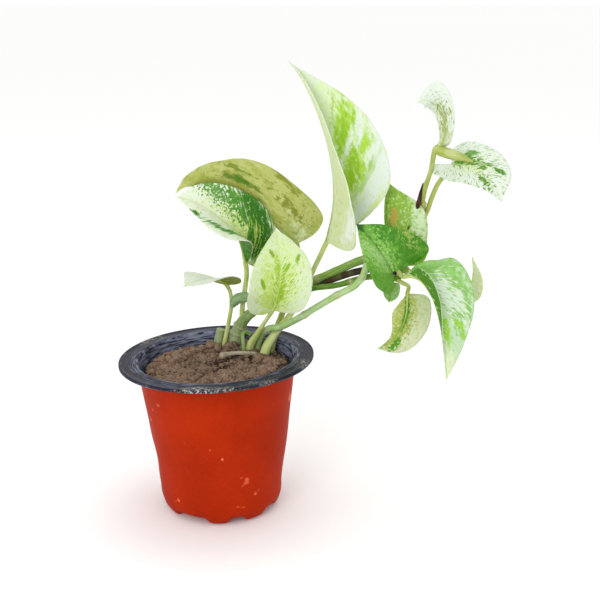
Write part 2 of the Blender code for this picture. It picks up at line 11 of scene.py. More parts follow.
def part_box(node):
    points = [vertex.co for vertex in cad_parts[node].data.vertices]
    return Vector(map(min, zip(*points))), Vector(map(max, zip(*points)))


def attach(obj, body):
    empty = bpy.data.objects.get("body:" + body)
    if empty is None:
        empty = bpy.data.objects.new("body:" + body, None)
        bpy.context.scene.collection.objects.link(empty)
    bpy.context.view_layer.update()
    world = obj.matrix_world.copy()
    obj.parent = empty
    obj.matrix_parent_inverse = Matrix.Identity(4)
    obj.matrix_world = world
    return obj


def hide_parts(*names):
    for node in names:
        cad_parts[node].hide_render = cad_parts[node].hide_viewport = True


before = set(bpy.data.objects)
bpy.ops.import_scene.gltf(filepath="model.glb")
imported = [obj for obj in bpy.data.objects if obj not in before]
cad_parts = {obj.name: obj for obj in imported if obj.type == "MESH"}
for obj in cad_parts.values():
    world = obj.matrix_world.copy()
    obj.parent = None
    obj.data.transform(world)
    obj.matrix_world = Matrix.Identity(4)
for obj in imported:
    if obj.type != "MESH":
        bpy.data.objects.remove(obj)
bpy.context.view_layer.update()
print("frame loaded:", len(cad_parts), "nodes")

mm = 0.001


# Small helpers

def srgb(code):
    parts = [int(code[i:i + 2], 16) / 255 for i in (0, 2, 4)]
    return [c / 12.92 if c <= 0.04045 else ((c + 0.055) / 1.055)**2.4 for c in parts] + [1.0]


def addNode(tree, kind, links=None, **settings):
    node = tree.nodes.new("ShaderNode" + kind)
    for key, value in settings.items():
        setattr(node, key, value)
    for key, value in (links or {}).items():
        if isinstance(value, bpy.types.Node):
            value = value.outputs[0]
        if isinstance(value, bpy.types.NodeSocket):
            tree.links.new(value, node.inputs[key])
        else:
            node.inputs[key].default_value = value
    return node


def newMaterial(name, roughness, ior=1.45, specular=0.25):
    material = bpy.data.materials.new(name)
    material.use_nodes = True
    shader = material.node_tree.nodes["Principled BSDF"]
    shader.inputs["Roughness"].default_value = roughness
    shader.inputs["IOR"].default_value = ior
    shader.inputs["Specular IOR Level"].default_value = specular
    return material, material.node_tree, shader


def ease(t):
    t = min(1.0, max(0.0, t))
    return t * t * (3 - 2 * t)


def smoothCurve(points, t):
    # a Catmull-Rom curve through all the points, t from 0 to 1
    spans = len(points) - 1
    index = min(int(t * spans), spans - 1)
    u = t * spans - index
    b, c = points[index], points[index + 1]
    a = points[index - 1] if index > 0 else 2 * b - c
    d = points[index + 2] if index + 2 <= spans else 2 * c - b
    return 0.5 * (2 * b + (c - a) * u + (2 * a - 5 * b + 4 * c - d) * u**2 + (3 * b - a - 3 * c + d) * u**3)


def blend(values, t):
    # eases through values spread evenly from 0 to 1
    at = min(1.0, max(0.0, t)) * (len(values) - 1)
    index = min(int(at), len(values) - 2)
    return values[index] + (values[index + 1] - values[index]) * (at - index)


def pathLength(points):
    return sum((b - a).length for a, b in zip(points, points[1:]))


def paintSurface(tree, shader, base, layers, height, strength, depth):
    # colour layers, each a mask and its colour, laid over a base, and a relief from a height, its depth in mm
    shade = srgb(base)
    for mask, colour in layers:
        shade = addNode(tree, "Mix", {0: mask, 6: shade, 7: srgb(colour)}, data_type="RGBA").outputs[2]
    tree.links.new(shade, shader.inputs["Base Color"])
    relief = addNode(tree, "Bump", {"Height": height, "Strength": strength, "Distance": depth * mm})
    tree.links.new(relief.outputs[0], shader.inputs["Normal"])


def addPiece(name, points, faces, materials, nodes, attributes=None, faceMaterials=None):
    mesh = bpy.data.meshes.new(name)
    mesh.from_pydata([tuple(p) for p in points], [], faces)
    for material in materials:
        mesh.materials.append(material)
    if faceMaterials:
        mesh.polygons.foreach_set("material_index", faceMaterials)
    for key, values in (attributes or {}).items():
        if isinstance(values[0], (float, int)):
            mesh.attributes.new(key, "FLOAT", "POINT").data.foreach_set("value", values)
        else:
            flat = [part for value in values for part in value]
            mesh.attributes.new(key, "FLOAT_VECTOR", "POINT").data.foreach_set("vector", flat)
    mesh.shade_smooth()
    mesh.validate()
    piece = bpy.data.objects.new(name, mesh)
    bpy.context.scene.collection.objects.link(piece)
    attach(piece, "root")
    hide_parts(*nodes)
    return piece


# Camera, light and floor

stage = dict(
    # each lamp's name, place, size and watts; all of them look at the aim
    lamps=(("keySoftbox", (-0.5, -1.2, 0.62), 0.7, 6), ("topSoftbox", (0.1, 0.35, 1.4), 0.8, 2.5)),
    aim=(0.03, 0, 0.12), room="FFFFFF", roomLight=1.0,
    camera=(0.04994, -0.66066, 0.32936), lookDown=16.523, lens=68.04, sensor=36, nearest=0.05,
    floorHalf=9.0, floorDrop=0.0003, board="FBFBFA", boardPale="FEFEFD",
)


def placeStage():
    scene = bpy.context.scene
    scene.view_settings.view_transform = "Standard"
    world = bpy.data.worlds.new("paleRoom")
    scene.world = world
    world.use_nodes = True
    world.node_tree.nodes["Background"].inputs["Color"].default_value = srgb(stage["room"])
    world.node_tree.nodes["Background"].inputs["Strength"].default_value = stage["roomLight"]
    for name, place, size, watts in stage["lamps"]:
        lamp = bpy.data.lights.new(name, "AREA")
        lamp.size = size
        lamp.energy = watts
        holder = bpy.data.objects.new(name, lamp)
        scene.collection.objects.link(holder)
        holder.location = place
        holder.rotation_euler = (Vector(stage["aim"]) - Vector(place)).to_track_quat("-Z", "Y").to_euler()
    lens = bpy.data.cameras.new("camera")
    lens.lens = stage["lens"]
    lens.sensor_width = stage["sensor"]
    lens.clip_start = stage["nearest"]
    camera = bpy.data.objects.new("camera", lens)
    camera.location = stage["camera"]
    camera.rotation_euler = (math.radians(90 - stage["lookDown"]), 0, 0)
    scene.collection.objects.link(camera)
    scene.camera = camera

    # matt white board with a very faint unevenness
    material, tree, shader = newMaterial("whiteBoard", 0.9)
    cloud = addNode(tree, "TexNoise", {"Scale": 3.0, "Detail": 2.0})
    tone = addNode(tree, "Mix", {0: cloud, 6: srgb(stage["board"]), 7: srgb(stage["boardPale"])},
                   data_type="RGBA")
    tree.links.new(tone.outputs[2], shader.inputs["Base Color"])
    half = stage["floorHalf"]
    mesh = bpy.data.meshes.new("floor")
    mesh.from_pydata([(-half, -half, 0), (half, -half, 0), (half, half, 0), (-half, half, 0)], [], [(0, 1, 2, 3)])
    mesh.materials.append(material)
    floor = bpy.data.objects.new("floor", mesh)
    floor.location.z = -stage["floorDrop"]
    scene.collection.objects.link(floor)


placeStage()
print("stage placed")


# Pot: thermoformed sheet, orange-red outside and blue-black inside

potLow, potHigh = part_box("nursery_pot")
pot = dict(
    rimRadius=(potHigh.y - potLow.y) / 2, height=98 * mm, flangeWidth=11.3 * mm, lipDrop=2.2 * mm,
    wall=0.9 * mm, shoulderRadius=38.5 * mm, shoulderHeight=14 * mm, footRingRadius=31.5 * mm,
    baseDiscRadius=21 * mm, footNotch=3.4 * mm, footAngles=(0, 40, 86, 130, 175, 215, 258, 301),
    footHalfWidth=15, drainRadius=2.6 * mm, tilt=math.radians(2.2), shift=-1.6 * mm, segments=240, wallRows=44,
    orangeFlangeRows=4, drainSides=24,
    # angle from the front towards +X, height share, depth and spread in mm
    dents=((-84, 0.37, 2.3, 8.5), (18, 0.30, 1.0, 7), (96, 0.24, 1.0, 12)),
    outside="A82803", outsidePale="B6340C", outsideDark="992202", scuff="DC6F48",
    inside="17171F", insideBlue="2A2D40", sheen="868CA4", dust="B3ADA0",
)
pot["wallTopRadius"] = pot["rimRadius"] - pot["flangeWidth"]
pot["wallTop"] = pot["height"] - pot["lipDrop"]


def facing(angle):
    return Vector((math.sin(angle), -math.cos(angle), 0))


def angleBetween(a, b):
    return abs((a - b + math.pi) % (2 * math.pi) - math.pi)


def footShare(angle):
    half = pot["footHalfWidth"] / 2
    return max(1 - ease((math.degrees(angleBetween(angle, math.radians(foot))) - half) / half)
               for foot in pot["footAngles"])


def wallRadius(height):
    shoulder = pot["shoulderHeight"]
    if height >= shoulder:
        share = (height - shoulder) / (pot["wallTop"] - shoulder)
        return pot["shoulderRadius"] + share * (pot["wallTopRadius"] - pot["shoulderRadius"])
    share = 1 - max(0, height) / shoulder
    return pot["footRingRadius"] + (pot["shoulderRadius"] - pot["footRingRadius"]) * math.sqrt(1 - share**2)


def dentDepth(angle, height):
    depth = 0
    for turn, share, deepest, spread in pot["dents"]:
        across = wallRadius(height) * angleBetween(angle, math.radians(turn))
        along = height - share * pot["height"]
        depth += deepest * mm * math.exp(-(across**2 + along**2) / (spread * mm)**2)
    # the soft sheet is nowhere quite round: a bowed crease by the small dent, and slow waves
    crease = wallRadius(height) * angleBetween(angle, math.radians(20)) / (7 * mm)
    bow = (height - 0.262 * pot["height"]) / (1.3 * mm) - crease**2
    depth += 0.5 * mm * math.exp(-bow**2) * math.exp(-crease**2)
    wave = noise.noise(Vector((3 * math.sin(angle), 3 * math.cos(angle), height / (24 * mm))))
    return depth + 0.35 * mm * wave


def potPoint(angle, radius, height):
    lean = ease(height / pot["height"]) * height / pot["height"]
    point = facing(angle) * radius + Vector((pot["shift"] * lean, 0, height))
    point.z += math.tan(pot["tilt"]) * point.x * lean
    return point


def potRows():
    # (radius, height, foot effect, dent effect, place on the flange from -1 inside to 1 at the lip)
    wall, base, ring = pot["wall"], pot["baseDiscRadius"], pot["footRingRadius"]
    rim, top, height = pot["rimRadius"], pot["wallTopRadius"], pot["height"]
    outer = [(base * t, 0, 0, 0, 0) for t in (0.02, 0.6, 1)]
    outer += [(base + (ring - base) * t, 0, ease(t * 1.5), 0, 0) for t in (0.2, 0.4, 0.6, 0.8, 0.93)]
    corner = len(outer)
    for t in (0.03, 0.08, 0.16, 0.27, 0.4, 0.55, 0.7, 0.85, 1):
        outer.append((wallRadius(t * pot["shoulderHeight"]), t * pot["shoulderHeight"], (1 - t)**2, t, 0))
    for step in range(1, pot["wallRows"] + 1):
        share = step / pot["wallRows"]
        level = pot["shoulderHeight"] + share * (pot["wallTop"] - pot["shoulderHeight"])
        outer.append((wallRadius(level), level, 0, 1 - ease(share * 8 - 7), 0))
    bead, lip = 0.55 * mm, pot["lipDrop"]
    flange = [
        (top + 0.5 * wall, height - 1.6 * wall, 0, 0, 0), (top + 1.4 * wall, height - 1.15 * wall, 0, 0, 0),
        (rim - 2.4 * wall, height - 1.05 * wall, 0, 0, 0), (rim - 1.5 * wall, height - 1.15 * wall, 0, 0, 0),
        (rim - 1.05 * wall, height - 0.8 * lip, 0, 0, 0), (rim - 0.95 * wall, height - lip, 0, 0, 0),
        (rim - 0.3 * wall, height - lip, 0, 0, 0.3), (rim - 0.02 * wall, height - 0.85 * lip, 0, 0, 1),
        (rim, height - 1.5 * wall, 0, 0, 0.7), (rim - 0.15 * bead, height - 0.5 * bead, 0, 0, 0.6),
        (rim - bead, height, 0, 0, 0.7), (rim - 2.2 * bead, height - 0.25 * bead, 0, 0, 0.6),
        (rim - 3.4 * bead, height - 0.7 * bead, 0, 0, 0.6), (rim - 5 * mm, height - 0.8 * bead, 0, 0, 0.5),
        (rim - 8 * mm, height - 0.5 * bead, 0, 0, 0.4), (top + 1.6 * wall, height - 0.15 * bead, 0, 0, 0.3),
        (top + 0.6 * wall, height - 0.4 * bead, 0, 0, 0.2), (top - 0.2 * wall, height - 1.6 * bead, 0, 0, 0.1),
    ]
    inner = [(r - wall, h, foot, dent, 0) for r, h, foot, dent, _ in outer[:corner:-1]]
    inner += [(max(r - 0.5 * wall, mm), wall, foot, dent, 0) for r, h, foot, dent, _ in outer[corner::-1]]
    return outer, flange, inner


def makePot():
    outside, tree, shader = newMaterial("orangeThermoformedSheet", 0.52, 1.5, 0.045)
    # vacuum-formed polystyrene: even colour, slow tone changes, a few pale stress marks and rubbed specks.
    # Scales are cells to the metre: tones 36 mm, grain 2.4 mm, marks 8 mm in fields of 29 mm
    spot = addNode(tree, "TexCoord").outputs["Object"]
    slow = addNode(tree, "TexNoise", {"Vector": spot, "Scale": 28.0, "Detail": 3.0, "Roughness": 0.5})
    fine = addNode(tree, "TexNoise", {"Vector": spot, "Scale": 420.0, "Detail": 2.0})
    marks = addNode(tree, "TexNoise", {"Vector": spot, "Scale": 120.0, "Detail": 1.5, "Distortion": 0.8})
    field = addNode(tree, "TexNoise", {"Vector": spot, "Scale": 34.0, "Detail": 1.0})
    slowMask = addNode(tree, "MapRange", {0: slow, 1: 0.35, 2: 0.68})
    fineMask = addNode(tree, "MapRange", {0: fine, 1: 0.45, 2: 0.75, 4: 0.22})
    markCut = addNode(tree, "MapRange", {0: marks, 1: 0.675, 2: 0.74})
    fieldCut = addNode(tree, "MapRange", {0: field, 1: 0.48, 2: 0.58})
    markMask = addNode(tree, "Math", {0: markCut, 1: fieldCut}, operation="MULTIPLY")
    layers = ((slowMask, pot["outside"]), (fineMask, pot["outsidePale"]), (markMask, pot["scuff"]))
    paintSurface(tree, shader, pot["outsideDark"], layers, fine, 0.12, 0.2)

    inside, tree, shader = newMaterial("blueBlackThermoformedSheet", 0.42, 1.5, 0.08)
    # the same sheet's dark face, bluish where it catches light, with painted sheen streaks and dried compost dust
    # along the rim:
    # tones 17 mm, dusty patches 24 mm, grit 1.4 mm
    spot = addNode(tree, "TexCoord").outputs["Object"]
    rimPlace = addNode(tree, "Attribute", attribute_name="rimPlace").outputs["Fac"]
    slow = addNode(tree, "TexNoise", {"Vector": spot, "Scale": 60.0, "Detail": 4.0, "Roughness": 0.6})
    patch = addNode(tree, "TexNoise", {"Vector": spot, "Scale": 42.0, "Detail": 2.0})
    grit = addNode(tree, "TexNoise", {"Vector": spot, "Scale": 700.0, "Detail": 3.0, "Roughness": 0.7})
    slowMask = addNode(tree, "MapRange", {0: slow, 1: 0.38, 2: 0.7})
    # painted sheen: fine streaks of painted highlight run round the rim, about 0.7 mm apart, more of them on the inner
    # wall than across the flange
    ringPlace = addNode(tree, "Attribute", attribute_name="ringPlace").outputs["Vector"]
    drawn = addNode(tree, "Mapping", {"Vector": ringPlace, "Scale": (0.09, 1.5, 0.09)})
    streak = addNode(tree, "TexNoise", {"Vector": drawn, "Scale": 1.0, "Detail": 3.0, "Roughness": 0.65})
    patchCut = addNode(tree, "MapRange", {0: patch, 1: 0.57, 2: 0.68})
    gritCut = addNode(tree, "MapRange", {0: grit, 1: 0.49, 2: 0.6})
    onRim = addNode(tree, "MapRange", {0: rimPlace, 1: 0.15, 2: 0.5})
    sheenFrom = addNode(tree, "Math", {0: onRim, 1: 0.16, 2: 0.42}, operation="MULTIPLY_ADD")
    sheenTo = addNode(tree, "Math", {0: sheenFrom, 1: 0.16})
    streakMask = addNode(tree, "MapRange", {
        0: streak, 1: sheenFrom, 2: sheenTo, 4: 0.85})
    scuff = addNode(tree, "Math", {0: patchCut, 1: gritCut}, operation="MULTIPLY")
    scuffOnRim = addNode(tree, "Math", {0: scuff, 1: onRim}, operation="MULTIPLY")
    lipCut = addNode(tree, "MapRange", {0: rimPlace, 1: 0.95, 2: 1.0, 4: 0.6})
    wornLip = addNode(tree, "MapRange", {0: grit, 1: 0.3, 2: 0.55, 3: 0.35})
    lipMask = addNode(tree, "Math", {0: lipCut, 1: wornLip}, operation="MULTIPLY")
    # the sheen layer is a painted highlight; the two dust layers are real dust
    layers = ((slowMask, pot["insideBlue"]), (streakMask, pot["sheen"]), (lipMask, pot["dust"]),
              (scuffOnRim, pot["dust"]))
    paintSurface(tree, shader, pot["inside"], layers, slow, 0.2, 0.4)
    dull = addNode(tree, "MapRange", {0: scuff, 3: 0.36, 4: 0.8})
    tree.links.new(dull.outputs[0], shader.inputs["Roughness"])

    outer, flange, inner = potRows()
    points, places, ringPlaces, rows = [], [], [], outer + flange + inner
    for radius, height, foot, dent, place in rows:
        for i in range(pot["segments"]):
            angle = 2 * math.pi * i / pot["segments"]
            lift = pot["footNotch"] * foot * (1 - footShare(angle))
            pushed = radius - (dent * dentDepth(angle, height) if dent else 0)
            points.append(potPoint(angle, pushed, height + lift))
            places.append(float(place))
            # round the pot and across its face, in mm
            ringPlaces.append((math.sin(angle) * 55, (radius - height) / mm, math.cos(angle) * 55))
    faces, kinds = [], []
    count = pot["segments"]
    darkFrom = len(outer) + pot["orangeFlangeRows"]
    for row in range(len(rows) - 1):
        for i in range(count):
            j = (i + 1) % count
            faces.append((row * count + i, row * count + j, (row + 1) * count + j, (row + 1) * count + i))
            kinds.append(int(row >= darkFrom))
    faces.append(tuple(reversed(range(count))))
    kinds.append(0)
    last = (len(rows) - 1) * count
    faces.append(tuple(range(last, last + count)))
    kinds.append(1)
    piece = addPiece("pot_shell", points, faces, (outside, inside), ["nursery_pot"],
                     {"rimPlace": places, "ringPlace": ringPlaces}, kinds)
    # round drain holes, one in each notch
    reach, radius, sides = (pot["baseDiscRadius"] + pot["footRingRadius"]) / 2, pot["drainRadius"], pot["drainSides"]
    nextFeet = pot["footAngles"][1:] + (pot["footAngles"][0] + 360,)
    for this, following in zip(pot["footAngles"], nextFeet):
        middle = facing(math.radians((this + following) / 2)) * reach
        turns = [k * math.pi / (sides / 2) for k in range(sides)]
        holePoints = [middle + Vector((radius * math.cos(turn), radius * math.sin(turn), z))
                      for z in (-2 * mm, 9 * mm) for turn in turns]
        holeFaces = [(k, (k + 1) % sides, (k + 1) % sides + sides, k + sides) for k in range(sides)]
        holeFaces += [tuple(reversed(range(sides))), tuple(range(sides, 2 * sides))]
        holeMesh = bpy.data.meshes.new("drainCutter")
        holeMesh.from_pydata(holePoints, [], holeFaces)
        cutter = bpy.data.objects.new("drainCutter", holeMesh)
        bpy.context.scene.collection.objects.link(cutter)
        modifier = piece.modifiers.new("drain", "BOOLEAN")
        modifier.operation, modifier.solver, modifier.object = "DIFFERENCE", "EXACT", cutter
        with bpy.context.temp_override(object=piece, active_object=piece, selected_objects=[piece]):
            bpy.ops.object.modifier_apply(modifier=modifier.name)
        bpy.data.objects.remove(cutter)
        bpy.data.meshes.remove(holeMesh)


makePot()
print("pot made")


# Soil: moist crumbly compost, lumpy on top and drawn back from the wall

soil = dict(
    drop=6 * mm, grid=230, gap=2.6 * mm, skirt=13 * mm, topShare=0.955, seed=12, crumbs=620, lumps=58,
    # rises and hollows: x, y, height and spread in mm
    heaps=((3, 41, 3.0, 7), (27, 15, -3.4, 9), (14, 22, -1.2, 6), (-20, 24, 1.6, 9), (33, -6, 1.2, 8),
           (-4, 8, -1.0, 12), (-24, -4, 1.2, 7), (8, -14, 1.0, 8)),
    brown="7E6855", pale="9C8671", dark="2B2019", redBrown="6A5040",
)
soilLevel = pot["height"] - soil["drop"]


def soilEdge(angle):
    # the crumbly edge wanders in from the wall
    turn = Vector((math.sin(angle), math.cos(angle), 0))
    wander = 1.9 * mm * noise.noise(turn * 2.1) + 0.9 * mm * noise.noise(turn * 9)
    inset = soil["gap"] + 1.2 * mm * max(0, -math.sin(angle)) + wander
    return wallRadius(soilLevel) - pot["wall"] - max(0.8 * mm, inset)


def crumble(x, y):
    # height of the compost above its level, in metres, from lumps down to crumbs
    p = Vector((x, y, 0)) / mm
    lump = noise.noise(p / 13 + Vector((5, 2, 0)))
    cells = noise.voronoi(p / 6.5 + Vector((3, 7, 0)))[0][0]
    small = noise.voronoi(p / 2.6)[0][0]
    grain = noise.fractal(p / 1.6, 0.8, 2.1, 4)
    heaped = sum(rise * math.exp(-((p.x - a)**2 + (p.y - b)**2) / spread**2) for a, b, rise, spread in soil["heaps"])
    return (1.3 * lump + 2.5 * (0.42 - cells) + 1.1 * (0.4 - small) + 0.35 * grain + heaped) * mm


def makeSoil():
    material, tree, shader = newMaterial("moistCompost", 0.95)
    # peat and bark: brown crumbs with dark pores, paler where the top has dried, and painted shade in the hollows,
    # down the gap by the wall and under the loose crumbs; clumps 9 mm, crumbs 1.3 mm and flecks 1.1 mm
    spot = addNode(tree, "TexCoord").outputs["Object"]
    pitShade = addNode(tree, "Attribute", attribute_name="pitShade").outputs["Fac"]
    clump = addNode(tree, "TexNoise", {"Vector": spot, "Scale": 110.0, "Detail": 4.0, "Roughness": 0.6})
    grain = addNode(tree, "TexNoise", {"Vector": spot, "Scale": 750.0, "Detail": 4.0, "Roughness": 0.7})
    fleck = addNode(tree, "TexVoronoi", {"Vector": spot, "Scale": 900.0})
    clumpMask = addNode(tree, "MapRange", {0: clump, 1: 0.38, 2: 0.66})
    grainMask = addNode(tree, "MapRange", {0: grain, 1: 0.42, 2: 0.68, 4: 0.7})
    pores = addNode(tree, "MapRange", {0: grain, 1: 0.44, 2: 0.32, 4: 0.75})
    fleckCut = addNode(tree, "MapRange", {0: fleck.outputs["Color"], 1: 0.93, 2: 0.97, 4: 0.7})
    # painted shade: darker in the hollows of the top, down the skirt into the gap by the wall and on the undersides of
    # the loose crumbs
    pitShadeMask = addNode(tree, "MapRange", {0: pitShade, 1: 0.25, 2: 1.0, 4: 0.92})
    layers = ((clumpMask, soil["brown"]), (grainMask, soil["pale"]), (pores, soil["dark"]),
              (fleckCut, soil["pale"]), (pitShadeMask, soil["dark"]))
    paintSurface(tree, shader, soil["redBrown"], layers, grain, 0.8, 0.5)

    points, pitShades, faces = [], [], []
    count = soil["grid"]
    # the rows past this share of the way out turn down into the gap
    inner = soil["topShare"]
    ground = {}
    for row in range(count + 1):
        for column in range(count + 1):
            # a square grid pressed into a disc
            u, v = 2 * column / count - 1, 2 * row / count - 1
            reach = max(abs(u), abs(v))
            flat = math.hypot(u, v)
            x, y = (u * reach / flat, v * reach / flat) if flat else (0.0, 0.0)
            angle = math.atan2(x, -y)
            edge = soilEdge(angle)
            share = math.hypot(x, y)
            if share <= inner:
                radius, fall = share / inner * edge, 0
            else:
                fall = (share - inner) / (1 - inner) * soil["skirt"]
                radius = min(edge + 0.6 * mm, wallRadius(soilLevel - fall) - pot["wall"] - 1.4 * mm)
            near = max(0, 1 - (edge - radius) / (5 * mm)) if share <= inner else 1
            height = crumble(math.sin(angle) * radius, -math.cos(angle) * radius)
            fill = soilLevel - 1.6 * mm * near**2 - fall
            point = potPoint(angle, radius, fill)
            point.z += height * (1 if share <= inner else 0.5)
            if share > inner:
                push = noise.noise(point / mm / 3) * 0.6 * mm
                point += facing(angle) * push
            points.append(point)
            # painted shade, darker the deeper the hollow, and darker still on the skirt that turns down into the gap
            # by the wall
            pitShades.append(min(1.0, max(0.0, -height / (1.6 * mm)) + 0.8 * (share > inner)))
            ground[(row, column)] = len(points) - 1
    for row in range(count):
        for column in range(count):
            faces.append((ground[(row, column)], ground[(row, column + 1)], ground[(row + 1, column + 1)],
                          ground[(row + 1, column)]))
    # loose crumbs and clods, part sunk into the top; the larger ones lie along the edge
    dice = random.Random(soil["seed"])
    for index in range(soil["crumbs"] + soil["lumps"]):
        big = index >= soil["crumbs"]
        size = dice.uniform(1.8, 4.2) * mm if big else 0.45 * mm + 1.3 * mm * dice.random()**3
        angle = dice.random() * 2 * math.pi
        reach = (0.6 + 0.36 * dice.random()) if big else math.sqrt(dice.random()) * 0.97
        radius = (soilEdge(angle) - 0.7 * size) * reach
        place = potPoint(angle, radius, soilLevel)
        place.z += crumble(place.x, place.y) + size * dice.uniform(-0.15, 0.3)
        stretch = Vector((dice.uniform(0.8, 1.25), dice.uniform(0.8, 1.25), dice.uniform(0.6, 0.9)))
        key = Vector((dice.random(), dice.random(), dice.random())) * 40
        rings, sides = (9, 14) if big else (5, 7)
        start = len(points)
        for ring in range(rings + 1):
            tilt = math.pi * ring / rings
            for side in range(sides):
                turn = 2 * math.pi * side / sides
                way = Vector((math.sin(tilt) * math.cos(turn), math.sin(tilt) * math.sin(turn), math.cos(tilt)))
                bump = 1 + 0.34 * noise.noise(way * 1.4 + key) + (0.16 * noise.noise(way * 4 + key) if big else 0)
                points.append(place + Vector(a * b for a, b in zip(way, stretch)) * size * bump)
                # painted shade on the lower side of each crumb
                pitShades.append(0.75 * ease((tilt - 1.6) / 1.2))
        for ring in range(rings):
            for side in range(sides):
                j = (side + 1) % sides
                a, b = start + ring * sides, start + (ring + 1) * sides
                faces.append((a + side, b + side, b + j, a + j))
    addPiece("compost", points, faces, (material,), ["potting_soil"], {"pitShade": pitShades})


makeSoil()
print("soil made")


# Plant places are in millimetres from the soil's middle, at the soil's level

plantScale = (wallRadius(soilLevel) - pot["wall"] - 2.35 * mm) / 45.1


def plantPlace(x, y, z):
    return Vector((x, y, z)) * plantScale + Vector((0, 0, soilLevel))


# Stems and petioles

stemLooks = {
    # green skin that turns grey and dusty towards the soil
    "oldVine": dict(base="7C9E40", streak="4A731F", pale="A9BC74", dust="B3B1A4", dustRise=20, rough=0.5),
    "greenVine": dict(base="5F8A2A", streak="3A5C18", pale="86A84A", dust="7F8C5C", dustRise=3, rough=0.42),
    "paleVine": dict(base="9DBE78", streak="83A85C", pale="BDD0A8", dust="A9B292", dustRise=4, rough=0.5),
    "oliveStem": dict(base="A6B05C", streak="8A9B44", pale="C3CB8E", dust="ABB079", dustRise=4, rough=0.42),
    "limePetiole": dict(base="BECB7A", streak="9DB352", pale="D8E0AC", dust="B8C48A", dustRise=3, rough=0.42),
    "dryHusk": dict(base="3D2723", streak="241614", pale="6B4A3E", dust="3D2723", dustRise=1, rough=0.8),
    # painted shade: the dark strip that fills the gap between the vines
    "darkHusk": dict(base="3A2C22", streak="26301A", pale="56602C", dust="3D2723", dustRise=1, rough=0.8),
    "swirlSheath": dict(base="8FAE7C", streak="5E8E46", pale="DCE6D2", dust="8FAE7C", dustRise=1, rough=0.55),
    "greenRoot": dict(base="7FA357", streak="5C8436", pale="A7BD85", dust="8C9270", dustRise=5, rough=0.6),
    "dustyRoot": dict(base="A39C80", streak="7E765C", pale="C4B4AA", dust="B3A096", dustRise=4, rough=0.85),
}
leafScar = "B7A98C"
stemMaterials = {}


def stemMaterial(look):
    if look in stemMaterials:
        return stemMaterials[look]
    tones = stemLooks[look]
    material, tree, shader = newMaterial(look + "Skin", tones["rough"], 1.42)
    # living stem skin: lengthwise streaks 0.9 mm wide and 6 mm long, paler patches 8 mm, pale leaf scars,
    # and specks of dust 0.7 mm across near the soil
    place = addNode(tree, "Attribute", attribute_name="stemPlace").outputs["Vector"]
    extra = addNode(tree, "Attribute", attribute_name="stemMarks").outputs["Vector"]
    marks = addNode(tree, "SeparateXYZ", {0: extra})
    drawn = addNode(tree, "Mapping", {"Vector": place, "Scale": (0.16, 1.1, 1.1)})
    streak = addNode(tree, "TexNoise", {"Vector": drawn, "Scale": 1.0, "Detail": 4.0, "Roughness": 0.6})
    cloud = addNode(tree, "TexNoise", {"Vector": place, "Scale": 0.12, "Detail": 2.0})
    speck = addNode(tree, "TexNoise", {"Vector": place, "Scale": 1.4, "Detail": 3.0, "Roughness": 0.7})
    streakMask = addNode(tree, "MapRange", {0: streak, 1: 0.47, 2: 0.66, 4: 0.85})
    cloudMask = addNode(tree, "MapRange", {0: cloud, 1: 0.46, 2: 0.66, 4: 0.7})
    speckCut = addNode(tree, "MapRange", {0: speck, 1: 0.35, 2: 0.62})
    dustMask = addNode(tree, "Math", {0: marks.outputs[1], 1: speckCut}, operation="MULTIPLY")
    scarCut = addNode(tree, "MapRange", {0: speck, 1: 0.3, 2: 0.6, 3: 0.3})
    scarMask = addNode(tree, "Math", {0: marks, 1: scarCut}, operation="MULTIPLY")
    layers = ((cloudMask, tones["pale"]), (streakMask, tones["streak"]), (dustMask, tones["dust"]),
              (scarMask, leafScar))
    paintSurface(tree, shader, tones["base"], layers, streak, 0.35, 0.3)
    stemMaterials[look] = material
    return material


def addStem(name, route, radii, look, nodes, joints=(), groove=0.0, roundEnd=True):
    # a round stem through the route; joints are the millimetres along it where a node swells
    length = pathLength([smoothCurve(route, i / 60) for i in range(61)])
    count = max(10, round(length / (0.9 * mm)))
    sides = 20
    points, places, marks, faces = [], [], [], []
    normal = None
    for row in range(count + 1):
        t = row / count
        here = smoothCurve(route, t)
        way = (smoothCurve(route, min(1, t + 0.01)) - smoothCurve(route, max(0, t - 0.01))).normalized()
        if normal is None:
            normal = way.orthogonal().normalized()
        normal = (normal - way * normal.dot(way)).normalized()
        side = way.cross(normal)
        along = t * length / mm
        radius = blend(radii, t) * mm
        swell = max([math.exp(-((along - joint) / 1.5)**2) for joint in joints] or [0])
        ring = max([math.exp(-((along - joint - 0.5) / 0.6)**2) for joint in joints] or [0])
        end = (1 - t) * length
        if roundEnd and end < radius:
            radius *= math.sqrt(max(0.0, 1 - (1 - end / radius)**2)) * 0.98 + 0.02
        dust = math.exp(-max(0, here.z - soilLevel) / (stemLooks[look]["dustRise"] * mm))
        for k in range(sides):
            turn = 2 * math.pi * k / sides
            out = normal * math.cos(turn) + side * math.sin(turn)
            spot = Vector((along / 5, math.cos(turn), math.sin(turn))) + Vector((length * 99, 0, 0))
            wander = 1 + 0.06 * noise.noise(spot)
            dip = 1 - groove * math.exp(-(angleBetween(turn, 0) / 0.5)**2)
            points.append(here + out * radius * wander * dip * (1 + 0.2 * swell - 0.05 * ring))
            places.append((along, radii[0] * math.cos(turn) + length * 991, radii[0] * math.sin(turn)))
            marks.append((min(1, ring * 1.1), dust, t))
    for row in range(count):
        for k in range(sides):
            j = (k + 1) % sides
            a, b = row * sides, (row + 1) * sides
            faces.append((a + k, a + j, b + j, b + k))
    faces.append(tuple(reversed(range(sides))))
    faces.append(tuple(range(count * sides, (count + 1) * sides)))
    return addPiece(name, points, faces, (stemMaterial(look),), nodes,
                    {"stemPlace": places, "stemMarks": marks})


